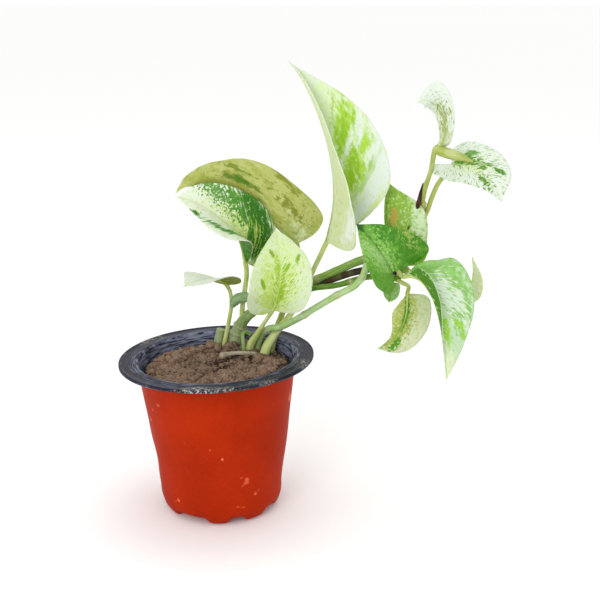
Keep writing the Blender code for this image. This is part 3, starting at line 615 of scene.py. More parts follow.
stems = {
    "main_vine": dict(
        radii=(4.8, 4.5, 3.9, 3.4, 3.0, 2.8, 2.7, 2.6, 2.5, 2.4), look="oldVine", joints=(20, 31, 92, 118, 136),
        points=((6, 38, -8), (8, 39, 4), (11, 39, 12), (15, 36, 19), (22, 34, 25), (37, 32, 35),
                (58, 28, 45), (75, 22, 55), (91, 16, 63), (106, 12, 62), (117, 8, 57))),
    "lower_vine": dict(
        radii=(1.9, 1.8, 1.8, 1.7), look="greenVine", joints=(30, 58),
        points=((30, 32, 29), (34, 27, 30), (42, 24, 36), (58, 20, 43), (74, 18, 46), (91, 14, 52),
                (105, 10, 53), (112, 7, 52))),
    "front_vine": dict(
        radii=(2.0, 2.0, 2.2, 2.1, 2.1, 2.1), look="paleVine", joints=(27, 31, 58, 77, 97),
        points=((22, 31, -8), (23.5, 29, 4), (26.5, 25, 12), (31.5, 20, 17), (38, 18, 18.5), (50, 14, 26),
                (60, 12, 33), (73, 9, 42), (83, 7, 48), (88.5, 6, 55), (91, 8, 63))),
    "upper_vine": dict(
        radii=(2.1, 2.0, 1.9), look="oliveStem", joints=(14, 25),
        points=((100, 14, 63), (104, 21, 64), (109, 28, 66), (119, 32, 75), (125, 31, 88), (127, 28, 97))),
    "left_stub": dict(
        radii=(3.6, 3.2, 2.6, 2.2), look="oldVine", joints=(14,),
        points=((-4, 40, -8), (-2.5, 40, 4), (-1.5, 40, 9), (-1.2, 40, 10.2))),
}

for name, spec in stems.items():
    addStem(name + "_stem", [plantPlace(*p) for p in spec["points"]], spec["radii"], spec["look"],
            [name], spec["joints"])
print("vines made")


# Leaves: outlines from the joint to the tip, as (share of length, share of half width);
# a negative length share is the lobe behind the joint

outlines = dict(
    heart=((0, 0), (-0.75, 0.2), (-1, 0.46), (-0.7, 0.75), (0.04, 0.95), (0.2, 1), (0.42, 0.88), (0.64, 0.6),
           (0.84, 0.26), (0.95, 0.08), (1, 0)),
    ovate=((0, 0), (-0.8, 0.2), (-1, 0.45), (-0.6, 0.72), (0.06, 0.92), (0.24, 1), (0.45, 0.97), (0.65, 0.79),
           (0.82, 0.47), (0.93, 0.2), (1, 0)),
    tapered=((0, 0), (-0.8, 0.3), (-1, 0.62), (-0.3, 0.88), (0.12, 1), (0.26, 0.98), (0.37, 0.85),
             (0.5, 0.63), (0.68, 0.34), (0.82, 0.13), (0.92, 0.05), (1, 0)),
    full=((0, 0), (-0.7, 0.2), (-1, 0.46), (-0.4, 0.68), (0.12, 0.84), (0.32, 0.95), (0.56, 1), (0.76, 0.8),
          (0.87, 0.42), (0.94, 0.14), (1, 0)),
    cupped=((0, 0), (0, 0.2), (0.005, 0.4), (0.02, 0.62), (0.055, 0.82), (0.11, 0.96), (0.2, 1), (0.32, 0.96),
            (0.46, 0.84), (0.62, 0.6), (0.8, 0.27), (0.92, 0.08), (1, 0)),
    swept=((0, 0), (0.05, 0.2), (0.12, 0.4), (0.18, 0.6), (0.23, 0.8), (0.29, 0.95), (0.36, 1), (0.45, 0.95),
           (0.57, 0.79), (0.69, 0.5), (0.81, 0.2), (0.92, 0.05), (1, 0)),
    straight=((0, 0), (0.03, 0.1), (0.09, 0.3), (0.16, 0.55), (0.26, 0.8), (0.38, 0.97), (0.52, 1), (0.68, 0.82),
              (0.82, 0.5), (0.93, 0.2), (1, 0)),
    level=((0, 0), (0.015, 0.12), (0.05, 0.35), (0.1, 0.62), (0.18, 0.86), (0.3, 0.99), (0.45, 0.98), (0.65, 0.79),
           (0.82, 0.47), (0.93, 0.2), (1, 0)),
    slender=((0, 0), (0.1, 0.25), (0.2, 0.3), (0.3, 0.42), (0.4, 0.55), (0.5, 0.76), (0.58, 0.95), (0.66, 1),
             (0.75, 0.8), (0.85, 0.45), (0.93, 0.22), (1, 0)),
    spoon=((0, 0), (0.1, 0.25), (0.17, 0.45), (0.3, 0.58), (0.42, 0.62), (0.56, 0.7), (0.66, 0.84), (0.745, 1),
           (0.84, 0.62), (0.93, 0.24), (1, 0)),
    sickle=((0, 0), (0.02, 0.1), (0.07, 0.3), (0.16, 0.7), (0.28, 1), (0.43, 0.9), (0.58, 0.6), (0.73, 0.3),
            (0.88, 0.08), (1, 0)),
    square=((0, 0), (-0.8, 0.28), (-1, 0.56), (0, 0.84), (0.1, 0.99), (0.22, 1), (0.4, 0.84), (0.6, 0.58),
            (0.8, 0.28), (0.93, 0.09), (1, 0)),
)

# A layer of marbling: its colour, then, unless it covers the whole blade, where it lies as (root, across) and
# its reach as (root, across), in millimetres along the midrib and out from it, left negative. Then how ragged
# it is, its grain one way and the other in millimetres, and its lift and softness. A layer whose second grain
# is over 1.5 times its first is streaked along the side veins; any other is mottled evenly over the blade.
whiteSpecks = [("BFCD96", 1.0, (1.2, 1.2), -0.25, 0.7), ("93A852", 1.0, (0.8, 0.9), -0.62, 0.4)]
limeSpecks = [("C6DA84", 1.0, (2, 1.8), -0.3, 0.8), ("A3BE4C", 1.0, (0.9, 0.9), -0.62, 0.5)]
leafLooks = {
    "tall_leaf": dict(
        top=("D6DFD3", [("D3E4AC", (44, 6), (52, 20), 0.7, (5, 4), 0.25, 1.0),
            ("D8E1D9", (4, 30), (20, 14), 0.8, (5, 4), 0.1, 0.8), ("BCD77A", 0.9, (3.5, 2.6), -0.45, 0.8),
            ("A9CE45", (52, 12), (16, 12), 0.9, (4.5, 3), 0.05, 0.8),
            ("93BE28", (51, 13), (9, 7), 0.9, (3.5, 2.4), 0.05, 0.7),
            ("A9CE45", (28, 14), (16, 13), 0.9, (4.5, 3), 0.1, 0.8),
            ("93BE28", (29, 14), (11, 9), 0.9, (3.5, 2.4), 0.1, 0.7),
            ("D8E1D9", (43, 13), (3.5, 8), 0.9, (3, 2.4), 0.1, 0.7),
            ("93BE28", (45, 21), (3.5, 2.6), 0.4, (2, 1.6), 0, 0.5),
            ("D8E1D9", (36, 22), (6, 4), 0.9, (3, 2.4), 0, 0.7),
            ("A9CE45", (29, 23), (4, 5), 0.7, (2, 2), 0.1, 0.6),
            ("B0CC88", (14, 21), (3.2, 12), 0.5, (2.5, 4), 0.1, 0.8),
            ("A3C070", (17, 25), (2.4, 3.4), 0.4, (2, 2), 0, 0.6),
            ("CBDC98", (-9, 24), (6, 18), 0.7, (3, 4), 0, 0.8),
            ("B4C47A", (66, 12), (3, 5), 0.9, (1.4, 1.2), -0.3, 0.5), ("8E9E3E", 1.0, (1.1, 1), -0.85, 0.4),
            *limeSpecks]),
        under=("D0DDAA", [("E0E8CE", 1.0, (6, 4), -0.1, 0.9), ("B7CC6C", 1.0, (4, 2.4), -0.3, 0.7),
            ("E3EBE0", (-2, -28), (8, 12), 0.7, (3, 3), 0.1, 0.7), ("A9B858", 1.0, (1.3, 1.1), -0.7, 0.5)])),
    "hood_leaf": dict(
        top=("9DBE84", [("2F6A14", 1.0, (4, 5), -0.1, 0.5)]),
        under=("B7BC70", [("9DA248", 1.0, (7, 5), 0.05, 0.8), ("8F943C", 1.0, (4, 3), -0.35, 0.6),
            ("C4CA88", 1.0, (4, 3), -0.35, 0.7), ("D3DCAC", (-14, -5), (18, 9), 0.7, (4, 5), 0.1, 0.9),
            ("A3A84C", (40, -4), (40, 5), 0.6, (4, 4), 0, 0.8), ("66802A", (24, -9), (11, 3), 0.9, (4, 3), 0, 0.6),
            ("4F7A1E", (23, -9), (6, 1.6), 0.7, (3, 2), 0, 0.5),
            ("7C8C34", (18, -15), (8, 2.4), 0.9, (3, 2), 0, 0.6),
            ("8A9038", (-15, -25), (10, 2.6), 0.9, (3, 2), -0.1, 0.6),
            ("6F8A2A", (-42, -29), (5, 4), 0.7, (2, 2), 0, 0.6),
            ("858A36", (-6, -14), (14, 5), 1.1, (2.4, 2.4), -0.3, 0.5), ("858C34", 1.1, (2.2, 1.4), -0.4, 0.5),
            ("6F7A2C", 1.0, (1.6, 1.2), -0.62, 0.5)])),
    "trough_leaf": dict(
        top=("DEE6D2", [("CFDE96", (12, 4), (26, 9), 0.9, (3, 3), 0.2, 0.7), ("B9CE6C", 1.0, (2, 1.6), -0.3, 0.6),
            ("5A9432", (0, 15), (23, 12), 1.0, (2.2, 4.5), -0.05, 0.4),
            ("3B7A1C", (-4, 15), (15, 11), 0.8, (2, 4.5), 0.15, 0.45),
            ("2F6A14", (-8, 14), (12, 9), 0.6, (1.8, 3.2), 0.2, 0.5),
            ("A9BE58", (-2, 10), (18, 10), 1.2, (1, 3), -0.75, 0.4),
            ("4C8A2A", (20, 12), (14, 8), 1.3, (1.5, 2), -0.35, 0.35),
            ("5E9440", (34, 12), (18, 8), 1.3, (1.2, 1.4), -0.3, 0.35),
            ("3F7F1D", (47, -10), (8, 3.2), 0.6, (2, 3), 0.1, 0.4),
            ("4C8A2A", (14, -11), (24, 3), 1.2, (1.4, 4), -0.1, 0.4),
            ("2F6A14", (-4, -5), (9, 5), 0.7, (1.5, 4), 0, 0.4), ("6E9A48", 1.0, (1.4, 1.2), -0.66, 0.4),
            ("B9CBA0", 1.0, (1.6, 1.4), -0.45, 0.5)]),
        under=("4F8428", [("2F6A14", 1.0, (3, 4), 0.1, 0.5), ("93B04E", 1.0, (2, 2.4), -0.5, 0.5)])),
    "heart_leaf": dict(
        top=("CDD9B8", [("C3D88C", (16, 0), (30, 13), 0.8, (3, 3), 0.25, 0.9),
            ("B9D06C", (6, -4), (18, 11), 0.9, (2.5, 3), 0.1, 0.8), *limeSpecks,
            ("7FA81E", (7, -11), (2.1, 2.1), 0.1, (1, 1), 0.1, 0.25),
            ("7FA81E", (25, 4), (1.8, 2), 0.2, (1, 1), 0.1, 0.3),
            ("7DA42C", (34, -5), (2.6, 1.6), 0.4, (1, 1), 0.1, 0.4),
            ("7DA42C", (23, 11), (2.2, 1.8), 0.4, (1, 1), 0.1, 0.4),
            ("93B636", (14, 2), (18, 12), 1.3, (0.9, 2), -0.6, 0.4),
            ("8AB02A", (14, 1.5), (13, 2), 1.4, (1.3, 2.4), 0, 0.4),
            ("9CBE3C", (27, -2), (9, 2.4), 1.2, (1.2, 2), -0.1, 0.4), ("94AE48", 1.0, (0.9, 1.6), -0.45, 0.4)]),
        under=("C6D3A0", [("A9BF5C", 1.0, (3, 4), -0.4, 0.5)])),
    "edge_leaf": dict(
        top=("DCE4D4", [("C3D293", (5, 0), (12, 9), 0.8, (2, 4), 0, 0.7), ("7F9A3C", 1.0, (1.2, 1), -0.66, 0.4),
            *whiteSpecks]),
        under=("939C40", [("B4BA62", 1.0, (2, 3), -0.2, 0.6), ("5E7A22", 1.0, (1.6, 1.6), -0.55, 0.4)])),
    "behind_leaf": dict(
        rib="9AB44A",
        top=("86AB3C", [("B4CE8C", 1.1, (3, 2.2), -0.15, 0.6), ("BFDB74", 1.0, (1.5, 1.2), -0.45, 0.5),
            ("5C8A26", (20, 0), (22, 5), 1.0, (2, 2), 0, 0.6), ("C9DCB4", (14, 20), (34, 7), 0.9, (3, 3), 0, 0.8),
            ("6E9A2A", 1.0, (1.2, 1), -0.5, 0.5), ("AC9640", (29, 4), (6, 2.8), 0.35, (1.5, 1.5), 0.1, 0.5),
            ("3A4424", (15, 12), (1.1, 1.1), 0.1, (1, 1), 0, 0.4)]),
        under=("A3A85A", [("6E8A2E", 1.0, (2, 3), -0.2, 0.5), ("4D5E22", 1.0, (1, 1.2), -0.75, 0.3)])),
    "dark_leaf": dict(
        rib="3F7420",
        top=("5F9830", [("3F7D1B", (-8, 18), (26, 10), 0.9, (4, 5), 0.2, 0.6),
            ("3F7D1B", (20, 9), (14, 5), 0.8, (3, 4), 0.1, 0.6), ("4A8424", 1.1, (2.6, 2.6), -0.15, 0.6),
            ("84B452", (10, -4), (22, 13), 1.1, (2, 1.8), -0.1, 0.6),
            ("A3C486", (10, -4), (20, 11), 1.2, (1, 0.9), -0.6, 0.4),
            ("8FA650", (4, 20), (24, 5), 1.2, (1.2, 1), -0.15, 0.5),
            ("24500F", (36, 0), (6, 6), 0.3, (2, 2), 0.1, 0.7), ("356A16", 1.0, (1, 1), -0.55, 0.5)]),
        under=("8E9A42", [("6FA04A", 1.0, (2, 3), -0.2, 0.5), ("3E5420", 1.0, (1.1, 1.1), -0.7, 0.3)])),
    "young_leaf": dict(
        rib="5E8A30",
        top=("7FA85C", [("9AC080", 1.0, (2, 1.8), -0.1, 0.6), ("4C7A26", 1.0, (1.2, 1.2), -0.4, 0.4)]),
        under=("6C9A44", [("86B066", 1.0, (1.5, 1.5), -0.1, 0.6)])),
    "hanging_leaf": dict(
        rib="9CCB84",
        top=("B4CCA6", [("8CBE66", (-6, -13), (22, 13), 0.9, (4, 3.4), 0.4, 0.6),
            ("74B348", (-6, -9), (14, 7), 0.9, (3, 2.4), 0.05, 0.6),
            ("84B25A", (20, -12), (24, 12), 1.2, (3, 2.4), 0.05, 0.7),
            ("C9D8C2", (26, -9), (16, 10), 1.3, (1.8, 4), 0, 0.5),
            ("8DBD2C", (53, -3), (10, 2.4), 0.7, (2.4, 2.4), 0.1, 0.5),
            ("8FBF3C", (43, -11), (5, 4), 0.8, (2, 2), 0, 0.5),
            ("CFD9B4", (76, -2), (18, 12), 0.5, (3, 3), 0.1, 0.8), ("84B468", 1.1, (1.2, 2.4), -0.42, 0.5),
            ("CFDEC8", 1.0, (1, 2.2), -0.4, 0.5)]),
        under=("A9CC7C", [("4C8222", (20, 8), (40, 10), 0.7, (3, 3), 0.3, 0.5),
            ("C7D8A0", 1.0, (2, 3), -0.4, 0.4)])),
    "low_leaf": dict(
        rib="6F9A3A",
        top=("CFD9A8", [("6F9A32", 1.0, (2, 3), -0.4, 0.4)]),
        under=("C3CAA6", [("A9B05C", (-2, -2), (20, 11), 0.8, (2.5, 2.4), 0.1, 0.9),
            ("AEBA62", (28, -6), (26, 7), 0.9, (2.5, 2.4), 0.2, 0.8),
            ("93A244", (20, 0), (30, 6), 1.1, (1.4, 1.3), -0.1, 0.5),
            ("3E7F17", (10, 0), (13, 1.7), 0.5, (2, 2), 0.1, 0.5),
            ("4C8A20", (28, 3), (4, 2.6), 0.7, (1.4, 1.4), 0.1, 0.4), ("8B9A50", 1.0, (1.1, 1), -0.4, 0.5),
            ("6E8436", 1.0, (0.9, 0.8), -0.62, 0.3)])),
    "sliver_leaf": dict(
        top=("CFDCAC", [("E2E9D2", 1.0, (2, 3), -0.1, 0.6), ("9BB45C", 1.0, (1.4, 1.6), -0.45, 0.4)]),
        under=("D3DEB2", [("E4EAD8", 1.0, (2, 3), -0.1, 0.6), ("A9BE66", 1.0, (1.4, 1.4), -0.45, 0.4)])),
    "top_leaf": dict(
        rib="C9D2A8",
        top=("DDE5DA", [("9AAA5C", 1.0, (1.2, 1.6), -0.6, 0.4)]),
        under=("D9E2D6", [("B4BD74", (-4, 0), (14, 12), 0.4, (3, 4), 0, 1.0),
            ("C6D0A4", (12, 0), (22, 6), 0.8, (3, 2), -0.1, 0.9),
            ("8C9C50", (22, 0), (22, 7), 1.2, (2.4, 0.7), -0.5, 0.5), ("93A266", 1.0, (1.3, 0.8), -0.62, 0.4),
            ("9DBE46", (42, -8), (3.4, 2.6), 0.6, (1, 1), 0, 0.4), ("A79C92", 1.0, (0.8, 0.8), -0.9, 0.3)])),
    "right_leaf": dict(
        rib="CBD6A8",
        top=("D3DCD1", [("D0DCA4", (8, -2), (18, 7), 0.8, (2.4, 3), 0, 0.9),
            ("6A9A3A", (4, -3), (6.5, 4.6), 0.8, (1.5, 4), 0.1, 0.5),
            ("3F8A1F", (3, -3), (4.5, 3.4), 0.8, (1.3, 4), 0.1, 0.4),
            ("5E9440", (2, -9), (3, 2.4), 0.5, (1, 2), 0.1, 0.4), ("7E9A50", 1.1, (0.9, 2.2), -0.3, 0.3),
            ("5B8A28", (13, -5), (10, 5), 1.3, (1, 2.4), -0.25, 0.35),
            ("4F8420", (19, -9), (2.4, 2), 0.5, (1, 1.4), 0.1, 0.4),
            ("5B8A28", (25, 1.5), (7, 2.6), 1.2, (1.3, 1.6), -0.1, 0.4), *whiteSpecks]),
        under=("D3DCC0", [("A9BF5C", 1.0, (2, 4), -0.4, 0.5)])),
}


def bladeMaterial(name, side, seed):
    base, layers = leafLooks[name][side]
    look = "Waxy" if side == "top" else "Matt"
    roughness = 0.42 if side == "top" else 0.6
    material, tree, shader = newMaterial(name.split("_")[0] + look + "Blade", roughness, 1.43, 0.22)
    # leaf cuticle: a soft shine above, duller below; the streaky marbling runs along the side veins
    place = addNode(tree, "Attribute", attribute_name="veinPlace").outputs["Vector"]
    spot = addNode(tree, "Attribute", attribute_name="bladeSpot").outputs["Vector"]
    parts = addNode(tree, "SeparateXYZ", {0: place})
    painted = []
    for index, (colour, *where, rag, grain, lift, soft) in enumerate(layers):
        shift = (seed * 7.3 + index * 3.7, seed * 2.9 + index * 5.1, index * 1.7)
        streaky = grain[1] > 1.5 * grain[0]
        drawn = addNode(tree, "Mapping", {
            "Vector": place if streaky else spot, "Location": shift, "Scale": (1 / grain[0], 1 / grain[1], 0)})
        cloud = addNode(tree, "TexNoise", {
            "Vector": drawn, "Scale": 1.0, "Detail": 3.0, "Roughness": 0.55})
        value = addNode(tree, "Math", {0: cloud, 1: 4 * rag, 2: lift - 2 * rag},
                        operation="MULTIPLY_ADD")
        if where:
            at, size = where
            region = addNode(tree, "Mapping", {
                "Vector": place, "Location": (-at[0] / size[0], -at[1] / size[1], 0),
                "Scale": (1 / size[0], 1 / size[1], 0)})
            away = addNode(tree, "VectorMath", {0: region}, operation="LENGTH").outputs["Value"]
            near = addNode(tree, "Math", {0: 1.0, 1: away}, operation="SUBTRACT")
            value = addNode(tree, "Math", {0: value, 1: near})
        painted.append((addNode(tree, "MapRange", {0: value, 1: 0.0, 2: soft}), colour))
    # a fine pale midrib, a relief of side veins 5 mm apart, and pores 0.6 mm across
    away = addNode(tree, "Math", {0: parts.outputs[1]}, operation="ABSOLUTE")
    rib = addNode(tree, "MapRange", {0: away, 1: 0.8, 2: 0.2, 4: 0.5})
    painted.append((rib, leafLooks[name].get("rib", blade["ribColour"])))
    wave = addNode(tree, "Math", {0: parts, 1: 2 * math.pi / 5}, operation="MULTIPLY")
    vein = addNode(tree, "Math", {0: wave}, operation="SINE")
    pores = addNode(tree, "TexNoise", {"Vector": place, "Scale": 1.6, "Detail": 2.0})
    height = addNode(tree, "Math", {0: vein, 1: 0.35, 2: pores}, operation="MULTIPLY_ADD")
    paintSurface(tree, shader, base, painted, height, 0.3, 0.35)
    # light passes softly through the thin blade
    shader.inputs["Subsurface Weight"].default_value = 0.12
    shader.inputs["Subsurface Radius"].default_value = (0.7, 1.0, 0.4)
    shader.inputs["Subsurface Scale"].default_value = 1.2 * mm
    return material


# midrib from the joint to the tip; face is the way the upper side looks at each end; fold lifts each half
# towards the upper side in degrees, at the joint and at the tip, and curl bends it on towards the margin
leaves = {
    "tall_leaf": dict(
        midrib=((67, 38, 69), (71, 36, 93), (70, 38, 116), (64, 44, 141), (53, 52, 166), (43, 58, 180)),
        face=((-0.25, -1, 0.1), (0, -1, 0.3)), outline=("cupped", "swept"), halfWidth=(36, 38), lobe=(0, 0),
        foldLeft=(138, 113, 98, 94, 92), foldRight=(8, 14), curl=(6, 10), ripple=0.7, slot="pale_leaf"),
    "hood_leaf": dict(
        midrib=((48, 45, 66), (37, 38, 77), (15, 28, 99), (-2, 18, 107.5), (-14, 10, 110), (-20, 6, 109.5),
                (-24, 3, 107)),
        face=((0, 1, 0.2), (0, 1, 0.4)), outline=("tapered", "tapered"), halfWidth=(27.5, 28), lobe=(0.05, 0.07),
        foldLeft=(6, 20), foldRight=(95, 95), curl=(26, 10), ripple=0.8, lean=0.9, slot="leaf_underside"),
    "trough_leaf": dict(
        midrib=((16, 34, 56), (11, 28, 75), (2, 20, 87), (-11, 10, 99), (-23, 2, 105)),
        face=((0.3, -1, 0.3), (0.1, -1, 0.3)), outline=("straight", "ovate"), halfWidth=(21, 24), lobe=(0, 0.08),
        foldLeft=(128, 92, 60, 42, 34), foldRight=(14, 10), curl=(10, 10), ripple=0.7, lean=1.0, slot="pale_leaf"),
    "heart_leaf": dict(
        midrib=((33, 12, 31), (36.5, 9, 43), (38.5, 11, 57), (37.5, 16, 68), (35, 24, 80)),
        face=((-0.1, -1, 0.2), (0, -1, 0.3)), outline=("ovate", "level"), halfWidth=(20, 20.5), lobe=(0.06, 0),
        foldLeft=(34, 10), foldRight=(6, 10), curl=(10, 6), ripple=0.6, slot="pale_leaf"),
    "edge_leaf": dict(
        midrib=((4, 34, 42), (-3, 25, 48), (-12, 14, 50), (-21.5, 5, 49)),
        face=((0, 0.1, 1), (-0.2, -0.7, 1)), outline=("ovate", "full"), halfWidth=(12, 14), lobe=(0.12, 0.12),
        foldLeft=(24, 6), foldRight=(4, 10), curl=(0, -8), ripple=0.4, slot="pale_leaf"),
    "behind_leaf": dict(
        midrib=((113, 22, 58), (107, 22, 72), (104, 28, 91), (105, 37, 108)),
        face=((0.15, -1, 0.1), (0.1, -1, 0.2)), outline=("ovate", "full"), halfWidth=(5.5, 24), lobe=(0.06, 0.08),
        foldLeft=(50, 58), foldRight=(8, 12), curl=(6, 8), ripple=0.5, slot="green_leaf"),
    "dark_leaf": dict(
        midrib=((106, 1, 59), (100, -3, 70), (92, -4, 81), (84, -1, 89)),
        face=((0, -1, 0.2), (0, -1, 0.3)), outline=("heart", "square"), halfWidth=(18, 26), lobe=(0.2, 0.03),
        foldLeft=(44, 30), foldRight=(8, 10), curl=(4, 4), ripple=0.6, lean=0.6, slot="green_leaf"),
    "young_leaf": dict(
        midrib=((107, 9, 49.5), (106, 7, 43.5), (105, 7, 38)),
        face=((-0.1, -1, 0), (-0.1, -1, 0)), outline=("ovate", "ovate"), halfWidth=(5.5, 5.5), lobe=(0.06, 0.06),
        foldLeft=(20, 20), foldRight=(20, 20), curl=(10, 10), ripple=0.1, slot="green_leaf"),
    "hanging_leaf": dict(
        midrib=((116, -7, 60), (123, -16, 57), (130, -20, 45), (135, -18, 25), (140, -10, -6)),
        face=((0.3, -0.5, 0.9), (0.1, -1, 0.1)), outline=("ovate", "sickle"), halfWidth=(26, 11), lobe=(0.06, 0),
        foldLeft=(6, 16), foldRight=(80, 86), curl=(12, 4), ripple=0.7, lean=0.7, slot="green_leaf"),
    "low_leaf": dict(
        midrib=((115, -3, 46), (114, -9, 34), (108, -13, 22), (97, -14, 15)),
        face=((0.1, 1, -0.3), (0, 1, -0.2)), outline=("sickle", "ovate"), halfWidth=(9, 15.5), lobe=(0, 0.02),
        foldLeft=(20, 20), foldRight=(10, 10), curl=(10, 10), ripple=0.4, slot="leaf_underside"),
    "sliver_leaf": dict(
        midrib=((154.5, 17, 39), (158, 19, 50), (157.5, 22, 63)),
        face=((1, 0.3, 0), (1, 0.3, 0.2)), outline=("heart", "heart"), halfWidth=(10, 10), lobe=(0.08, 0.08),
        foldLeft=(20, 20), foldRight=(20, 20), curl=(6, 6), ripple=0.2, slot="leaf_underside"),
    "top_leaf": dict(
        midrib=((132, 22, 130), (135.9, 19, 134.8), (136.2, 16, 144.3), (134.6, 12, 153.2), (130.5, 8, 160.4),
                (124.7, 4, 162.2), (118, 0, 161)),
        face=((0.26, 1, 0.1), (0.26, 1, 0.1)), outline=("spoon", "slender"), halfWidth=(11, 9.5), lobe=(0, 0),
        foldLeft=(34, 12), foldRight=(34, 12), curl=(10, 10), ripple=0.3, lean=0.6, slot="pale_leaf"),
    "right_leaf": dict(
        midrib=((143, 24, 121), (152, 18, 120), (163, 11, 113), (171.5, 5, 101)),
        face=((0, -0.85, 0.5), (0, -1, 0.3)), outline=("full", "heart"), halfWidth=(17, 13), lobe=(0.06, 0.3),
        foldLeft=(6, 6), foldRight=(10, 10), curl=(4, 4), ripple=0.5, slot="pale_leaf"),
}
blade = dict(rulings=64, across=18, veinSlant=0.7, thickness=0.45 * mm, veinSpacing=5 * mm, relief=0.16 * mm,
             ribDip=0.45 * mm, ribHalf=1.3 * mm, ribColour="C9D58C")


def bladeLength(spec):
    return pathLength([smoothCurve(spec["midribPoints"], i / 40) for i in range(41)])


def bladeAxes(spec, s):
    inside = min(1.0, max(0.0, s))
    points = spec["midribPoints"]
    ahead, back = smoothCurve(points, min(1.0, inside + 0.02)), smoothCurve(points, max(0.0, inside - 0.02))
    forward = (ahead - back).normalized()
    place = smoothCurve(points, inside) + forward * (s - inside) * spec["length"]
    face = spec["faces"][0].lerp(spec["faces"][1], inside)
    face = (face - forward * face.dot(forward)).normalized()
    return place, forward, face, forward.cross(face)


def bladePlace(spec, side, s, share, root):
    middle, _, face, right = bladeAxes(spec, s)
    start = math.radians(blend(spec["foldRight" if side else "foldLeft"], s))
    curl = math.radians(spec["curl"][side]) or 0.001
    width = spec["halfWidth"][side] * plantScale
    across = width / curl * (math.sin(start + curl * share) - math.sin(start))
    up = width / curl * (math.cos(start) - math.cos(start + curl * share))
    turned = start + curl * share
    outward = right * (math.sin(turned) * (-1 if side else 1)) + face * math.cos(turned)
    # side veins, a dipped midrib and a gently rippled margin
    way = share * width
    vein = math.cos(2 * math.pi * root * spec["length"] / blade["veinSpacing"])
    relief = blade["relief"] * vein * ease(way / (3 * mm)) * (1 - ease(share * 1.2 - 0.3))
    dip = -blade["ribDip"] * math.exp(-(way / blade["ribHalf"])**2) * (1 - s * 0.7)
    wave = noise.noise(Vector((s * spec["length"] / (11 * mm), 7 * side, spec["seed"])))
    ripple = spec["ripple"] * mm * share**2 * wave
    return middle + right * (across if side else -across) + face * up + outward * (relief + dip + ripple)


def makeLeaf(name, spec, seed):
    spec["midribPoints"] = [plantPlace(*p) for p in spec["midrib"]]
    spec["length"] = bladeLength(spec)
    spec["faces"] = [Vector(f).normalized() for f in spec["face"]]
    spec["seed"] = seed * 3.1
    rulings, across = blade["rulings"], blade["across"]
    widths = [width * plantScale for width in spec["halfWidth"]]
    slant = blade["veinSlant"] * sum(widths) / 2 / spec["length"]
    halves = []
    for side in (0, 1):
        corners = [Vector((s * spec["lobe"][side] if s < 0 else s, w, 0)) for s, w in outlines[spec["outline"][side]]]
        halves.append([smoothCurve(corners, i / rulings) for i in range(rulings + 1)])
    starts = [(left.x + right.x - slant * (left.y + right.y)) / 2 for left, right in zip(*halves)]
    roots = [max(0, start) for start in starts]
    lean = spec.get("lean", 0.3)
    points, places, spots, faces, index = [], [], [], [], {}
    for side in (0, 1):
        for row, (begin, root, margin) in enumerate(zip(starts, roots, halves[side])):
            for i in range(across + 1):
                t = i / across
                if i == 0 and side == 1:
                    index[(side, row, i)] = index[(0, row, 0)]
                    continue
                share = margin.y * t
                index[(side, row, i)] = len(points)
                s = root + (margin.x - root) * t
                points.append(bladePlace(spec, side, s, share, root))
                away = share * widths[side] / mm
                spots.append((s * spec["length"] / mm, away if side else -away, 0))
                places.append((begin * spec["length"] / mm - lean * away, away if side else -away, t))
        for row in range(rulings):
            for i in range(across):
                a, b = index[(side, row, i)], index[(side, row, i + 1)]
                c, d = index[(side, row + 1, i + 1)], index[(side, row + 1, i)]
                faces.append((a, b, c, d) if side else (d, c, b, a))
    # rows that start at the same root share one midrib point
    kept, merged = {}, []
    for number, point in enumerate(points):
        merged.append(kept.setdefault(tuple(round(c / (0.01 * mm)) for c in point), number))
    tidyFaces = []
    for corners in faces:
        found = list(dict.fromkeys(merged[c] for c in corners))
        if len(found) > 2:
            tidyFaces.append(tuple(found))
    used = sorted({c for corners in tidyFaces for c in corners})
    order = {old: new for new, old in enumerate(used)}
    tidyFaces = [tuple(order[c] for c in corners) for corners in tidyFaces]
    skins = (bladeMaterial(name, "top", seed), bladeMaterial(name, "under", seed))
    attributes = {"veinPlace": [places[c] for c in used], "bladeSpot": [spots[c] for c in used]}
    piece = addPiece(name + "_blade", [points[c] for c in used], tidyFaces, skins, [name], attributes)
    thicken = piece.modifiers.new("thickness", "SOLIDIFY")
    thicken.thickness = blade["thickness"]
    thicken.offset = 0
    thicken.material_offset = 1
    thicken.material_offset_rim = 0


for number, (name, spec) in enumerate(leaves.items()):
    makeLeaf(name, spec, number + 1)
print("leaves made")


# Petioles run into their leaf's joint and on as the raised midrib of its underside

